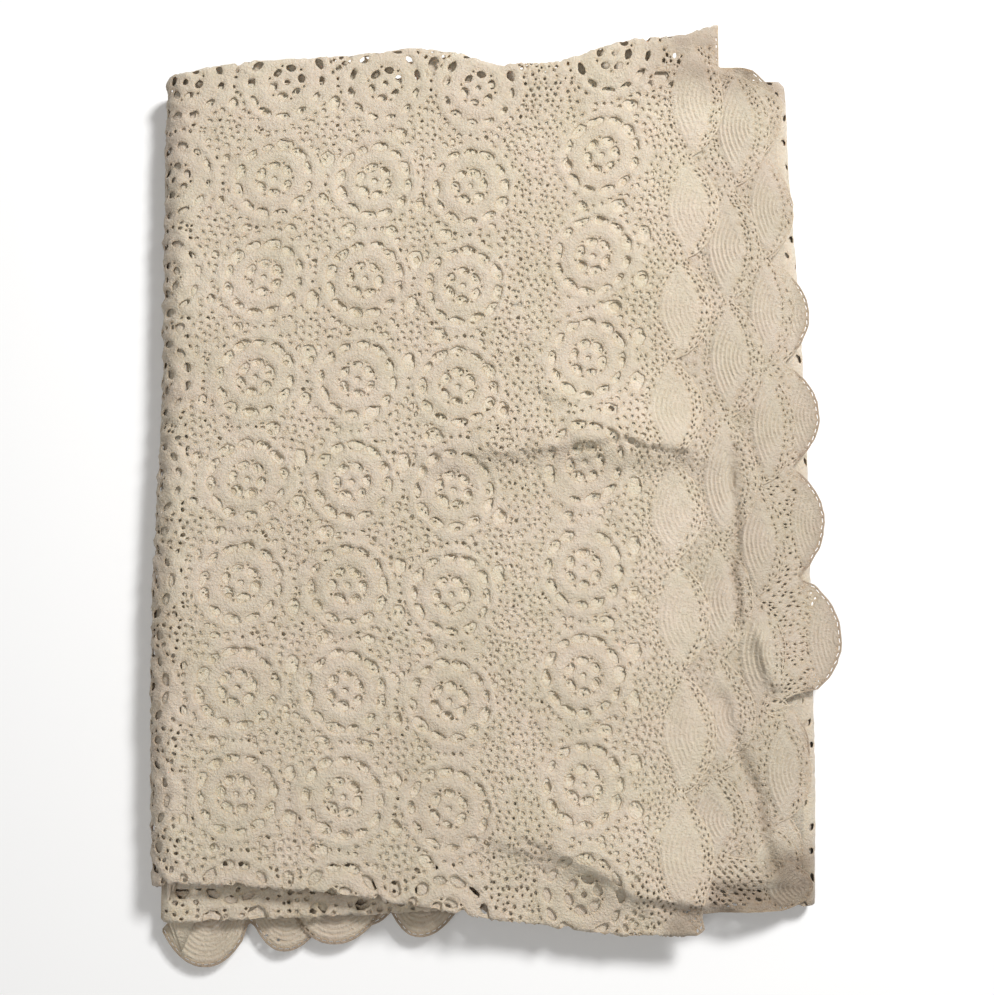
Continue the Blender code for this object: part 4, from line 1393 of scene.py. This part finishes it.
# ------------------------------------------------------------------ material
def yarn(name, dark, light_tone, low):
    material = bpy.data.materials.new(name)
    material.use_nodes = True
    tree = material.node_tree
    nodes, links = tree.nodes, tree.links
    shader = nodes["Principled BSDF"]

    def node(kind, **settings):
        made = nodes.new(kind)
        for key, value in settings.items():
            setattr(made, key, value)
        return made

    def math_node(operation, a, b=None, clamp=False):
        made = node("ShaderNodeMath", operation=operation, use_clamp=clamp)
        for i, value in enumerate((a, b)):
            if value is None:
                continue
            if isinstance(value, (int, float)):
                made.inputs[i].default_value = value
            else:
                links.new(value, made.inputs[i])
        return made.outputs[0]

    flat = node("ShaderNodeUVMap", uv_map="flat").outputs[0]
    around = node("ShaderNodeUVMap", uv_map="around").outputs[0]
    depth = node("ShaderNodeAttribute", attribute_name="depth").outputs["Fac"]

    def noise(scale, detail, vector, rough=0.6):
        made = node("ShaderNodeTexNoise")
        made.inputs["Scale"].default_value = scale
        made.inputs["Detail"].default_value = detail
        made.inputs["Roughness"].default_value = rough
        links.new(vector, made.inputs["Vector"])
        return made.outputs[0]

    wide = noise(1.1, 3, flat)
    middle = noise(9.0, 3, flat)
    fine = noise(62.0, 2, flat, 0.7)
    pit_relief_and_shade = noise(34.0, 3, flat, 0.75)
    # Treble posts run out from the middle of each motif.
    split = node("ShaderNodeSeparateXYZ")
    links.new(around, split.inputs[0])
    x, y = split.outputs[0], split.outputs[1]
    angle = math_node("ARCTAN2", y, x)
    radius = math_node("SQRT", math_node("ADD", math_node("MULTIPLY", x, x), math_node("MULTIPLY", y, y)))
    posts = math_node("SINE", math_node("ADD", math_node("MULTIPLY", angle, 48.0), math_node("MULTIPLY", middle, 9.0)))
    from_middle = node("ShaderNodeMapRange")
    from_middle.inputs["From Min"].default_value = 0.07
    from_middle.inputs["From Max"].default_value = 0.16
    links.new(radius, from_middle.inputs["Value"])
    posts = math_node("MULTIPLY", posts, from_middle.outputs[0])
    rounds = math_node("SINE", math_node("MULTIPLY", radius, 160.0))
    near = math_node("LESS_THAN", radius, 0.47)
    stitch = math_node("MULTIPLY", math_node("ADD", posts, math_node("MULTIPLY", rounds, 0.4)), near)

    tones = node("ShaderNodeValToRGB")
    tones.color_ramp.elements[0].position = 0.35
    tones.color_ramp.elements[0].color = (*dark, 1)
    tones.color_ramp.elements[1].position = 0.66
    tones.color_ramp.elements[1].color = (*light_tone, 1)
    mixed = math_node(
        "ADD", math_node("ADD", math_node("MULTIPLY", wide, 0.3), math_node("MULTIPLY", middle, 0.2)), math_node("MULTIPLY", fine, 0.2)
    )
    # Painted shade: the grain noise that raises the bump also sets the colour, so the bump's pits are darker.
    mixed = math_node("ADD", mixed, math_node("MULTIPLY", pit_relief_and_shade, 0.3))
    links.new(mixed, tones.inputs[0])
    # Painted shade: low places between the stitches and round the openings are a little darker and warmer.
    shade = node("ShaderNodeValToRGB")
    shade.color_ramp.elements[0].position = 0.0
    shade.color_ramp.elements[0].color = (*low, 1)
    shade.color_ramp.elements[1].position = 0.85
    shade.color_ramp.elements[1].color = (1, 1, 1, 1)
    links.new(depth, shade.inputs[0])
    colour = node("ShaderNodeVectorMath", operation="MULTIPLY")
    links.new(tones.outputs[0], colour.inputs[0])
    links.new(shade.outputs[0], colour.inputs[1])
    # Old cotton is unevenly toned: a little greener here, a little pinker there.
    blotch = node("ShaderNodeValToRGB")
    blotch.color_ramp.elements[0].position = 0.38
    blotch.color_ramp.elements[0].color = (0.98, 1.0, 0.975, 1)
    blotch.color_ramp.elements[1].position = 0.62
    blotch.color_ramp.elements[1].color = (1.0, 0.99, 0.995, 1)
    links.new(noise(2.3, 4, flat), blotch.inputs[0])
    toned = node("ShaderNodeVectorMath", operation="MULTIPLY")
    links.new(colour.outputs[0], toned.inputs[0])
    links.new(blotch.outputs[0], toned.inputs[1])
    # Painted shade: the per-point shade attribute darkens the colour towards a warm grey.
    painted_shade = node("ShaderNodeValToRGB")
    painted_shade.color_ramp.elements[0].color = (1, 1, 1, 1)
    painted_shade.color_ramp.elements[1].color = (0.56, 0.52, 0.50, 1)
    links.new(node("ShaderNodeAttribute", attribute_name="painted_shade").outputs["Fac"], painted_shade.inputs[0])
    shaded_colour = node("ShaderNodeVectorMath", operation="MULTIPLY")
    links.new(toned.outputs[0], shaded_colour.inputs[0])
    links.new(painted_shade.outputs[0], shaded_colour.inputs[1])
    links.new(shaded_colour.outputs[0], shader.inputs["Base Color"])

    height = math_node("ADD", math_node("MULTIPLY", fine, 1.5), math_node("MULTIPLY", stitch, 0.06))
    height = math_node("ADD", height, math_node("MULTIPLY", pit_relief_and_shade, 2.0))
    bump = node("ShaderNodeBump")
    bump.inputs["Strength"].default_value = 0.9
    bump.inputs["Distance"].default_value = 0.0009
    links.new(height, bump.inputs["Height"])
    links.new(bump.outputs[0], shader.inputs["Normal"])
    shader.inputs["Roughness"].default_value = 0.88
    shader.inputs["Specular IOR Level"].default_value = 0.25
    shader.inputs["Sheen Weight"].default_value = 0.12
    shader.inputs["Sheen Roughness"].default_value = 0.5
    # Light soaks a little way into cotton yarn.
    shader.inputs["Subsurface Weight"].default_value = 0.6
    shader.inputs["Subsurface Scale"].default_value = 0.001
    shader.inputs["Subsurface Radius"].default_value = (1.0, 0.85, 0.7)
    return material


cotton = yarn("ecru_cotton", (0.565, 0.478, 0.375), (0.74, 0.655, 0.545), (0.93, 0.86, 0.77))
# A darker copy of the cotton: painted shade for the border layers that lie lower in the stack.
shaded_border_cotton = yarn("ecru_cotton_border_shaded", (0.52, 0.44, 0.35), (0.67, 0.59, 0.49), (0.93, 0.86, 0.77))
# A paler copy of the cotton: painted light for the cloth seen through the top layer's openings.
lit_inside_cotton = yarn("ecru_cotton_inside_lit", (0.63, 0.545, 0.43), (0.82, 0.735, 0.61), (0.95, 0.90, 0.82))
# A warmer copy of the cotton: painted shade colour for the hidden cloth seen deep through the openings.
deep_shade_cotton = yarn("ecru_cotton_deep_shade", (0.63, 0.53, 0.40), (0.77, 0.67, 0.52), (0.95, 0.90, 0.82))
inner = hidden_sheet()
pieces = []
pieces += top_layer()
pieces += second_layer()
pieces += border_layer("3", 118.0, 158.0, "lace_border_third", 51, 0.15)
pieces += border_layer("4", 120.0, 186.0, "lace_border_fourth", 61, 0.2)
pieces += underside()
pieces += fold_strip("4", "lace_front_fold_4", 71, "front")
pieces += fold_strip("3", "lace_front_fold_3", 73, "front")
pieces += fold_strip("4", "lace_back_fold_4", 76, "back")
pieces += fold_strip("3", "lace_back_fold_3", 78, "back")
pieces += end_border("3", "lace_end_third", 81)
pieces += end_border("4", "lace_end_fourth", 83)

def add_painted_shade(piece, amount):
    """Adds painted shade to a piece. amount(x, y) works on arrays of places in the drawing's frame."""
    mesh = piece.data
    points = np.zeros(len(mesh.vertices) * 3)
    mesh.vertices.foreach_get("co", points)
    painted_shade = np.zeros(len(mesh.vertices))
    mesh.attributes["painted_shade"].data.foreach_get("value", painted_shade)
    more = amount(points[0::3] / MM + MIDDLE_X, points[1::3] / MM + MIDDLE_Y)
    mesh.attributes["painted_shade"].data.foreach_set("value", np.maximum(painted_shade, more).astype(np.float32))


def shade_near_edge(line, depth, most):
    """A band of painted shade along a free edge."""
    line = resampled(line, 1.5)

    def amount(x, y):
        out = np.zeros(len(x))
        for start in range(0, len(x), 4000):
            part = slice(start, start + 4000)
            away = np.hypot(x[part, None] - line[None, :, 0], y[part, None] - line[None, :, 1]).min(axis=1)
            out[part] = most * (1 - smooth(0.6 * depth, 1.3 * depth, away))
        return out

    return amount


def shade_under_front(uppers, reach_out, most):
    """Painted shade on the layers beneath, where the front of the layers above rests on them: full under it, fading out
    over reach_out mm in front.
    """
    bins = np.arange(-260.0, 262.0, 4.0)
    front = np.full(len(bins), 999.0)
    for upper in uppers:
        points = np.zeros(len(upper.data.vertices) * 3)
        upper.data.vertices.foreach_get("co", points)
        x, y = points[0::3] / MM + MIDDLE_X, points[1::3] / MM + MIDDLE_Y
        np.minimum.at(front, np.clip(((x + 260) / 4).astype(int), 0, len(bins) - 1), y)

    def amount(x, y):
        return most * smooth(-reach_out, -0.5, y - np.interp(x, bins + 2, front))

    return amount


named = {piece.name: piece for piece in pieces}
# painted shade along the border's free edge, where it sticks out past the right fold, and a little over the whole of
# the fourth and third borders
rim, band = shade_near_edge(EDGES["4"], 2.4, 0.8), shade_near_edge(EDGES["4"], 8.5, 0.3)
add_painted_shade(named["lace_border_fourth"], lambda x, y: np.maximum(0.1, np.maximum(rim(x, y), band(x, y)) * smooth(214, 223, x)))
add_painted_shade(named["lace_border_third"], lambda x, y: np.full(len(x), 0.13))
# painted shade along the free edges of the end scallops
add_painted_shade(named["lace_end_third"], shade_near_edge(EDGES["end 3"], 2.6, 0.85))
add_painted_shade(named["lace_end_fourth"], shade_near_edge(EDGES["end 4"], 2.6, 0.85))
# painted shade under the front of the top layers, on the fold strips and the end scallops
tops = [named["lace_top_a"], named["lace_top_b"]]
strips = [named["lace_front_fold_4"], named["lace_front_fold_3"]]
for piece in strips:
    add_painted_shade(piece, shade_under_front(tops, 4.5, 0.75))
for name in ("lace_end_third", "lace_end_fourth"):
    add_painted_shade(named[name], shade_under_front(tops + strips, 4.0, 0.7))

BORDERS = ("lace_second", "lace_border_third", "lace_border_fourth", "lace_end_third", "lace_end_fourth")
COVERED = {"lace_second": "1", "lace_border_third": "2", "lace_border_fourth": "3"}
for piece in [inner, *pieces]:
    if piece is not inner:
        # the lower border layers get the darker copy: painted shade
        piece.data.materials.append(shaded_border_cotton if piece.name in BORDERS else cotton)
    if piece.name in COVERED:
        # Painted light: what only shows through the openings of the layer above it gets the paler copy of the cotton.
        piece.data.materials.append(lit_inside_cotton)
        spots = np.zeros(len(piece.data.polygons) * 3)
        piece.data.polygons.foreach_get("center", spots)
        x, y = spots[0::3] / MM + MIDDLE_X, spots[1::3] / MM + MIDDLE_Y
        edge = np.array(EDGES[COVERED[piece.name]])
        below = x < np.interp(y, edge[:, 1], edge[:, 0]) - 7
        piece.data.polygons.foreach_set("material_index", below.astype(np.int32))
    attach(piece, "root")
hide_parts("bedspread")
for piece in pieces:
    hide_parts("bedspread")

# ------------------------------------------------------- floor, light, camera
def stage():
    mesh = bpy.data.meshes.new("floor")
    s = 6.0
    mesh.from_pydata([(-s, -s, 0), (s, -s, 0), (s, s, 0), (-s, s, 0)], [], [(0, 1, 2, 3)])
    floor = bpy.data.objects.new("floor", mesh)
    floor.location.z = -0.0004
    bpy.context.scene.collection.objects.link(floor)
    material = bpy.data.materials.new("pale_floor")
    material.use_nodes = True
    shader = material.node_tree.nodes["Principled BSDF"]
    shader.inputs["Base Color"].default_value = (0.94, 0.945, 0.955, 1)
    shader.inputs["Roughness"].default_value = 0.9
    shader.inputs["Specular IOR Level"].default_value = 0.1
    mesh.materials.append(material)


def light(name, place, target, size, power, colour=(1, 1, 1)):
    data = bpy.data.lights.new(name, "AREA")
    data.shape = "SQUARE"
    data.size = size
    data.energy = power
    data.color = colour
    obj = bpy.data.objects.new(name, data)
    bpy.context.scene.collection.objects.link(obj)
    from mathutils import Vector

    obj.location = place
    obj.rotation_euler = (Vector(place) - Vector(target)).to_track_quat("Z", "Y").to_euler()


stage()
light("key", (0.84, 0.98, 1.66), (0, 0, 0.03), 0.42, 43, (1.0, 0.995, 0.985))
light("overhead", (-0.22, -0.5, 2.2), (0, 0, 0.03), 1.2, 13.5, (1.0, 0.98, 0.945))
world = bpy.data.worlds.new("studio")
world.use_nodes = True
world.node_tree.nodes["Background"].inputs[0].default_value = (1, 0.985, 0.96, 1)
world.node_tree.nodes["Background"].inputs[1].default_value = 0.19
bpy.context.scene.world = world
bpy.context.scene.view_settings.view_transform = "Standard"

tilt = math.radians(6.0)
camera_data = bpy.data.cameras.new("camera")
camera_data.sensor_width = 36
camera_data.lens = 36 * 1389 / 994
camera = bpy.data.objects.new("camera", camera_data)
camera.location = (-MIDDLE_X * MM, -math.sin(tilt) - MIDDLE_Y * MM, 0.042 + math.cos(tilt))
camera.rotation_euler = (tilt, 0, 0)
bpy.context.scene.collection.objects.link(camera)
bpy.context.scene.camera = camera
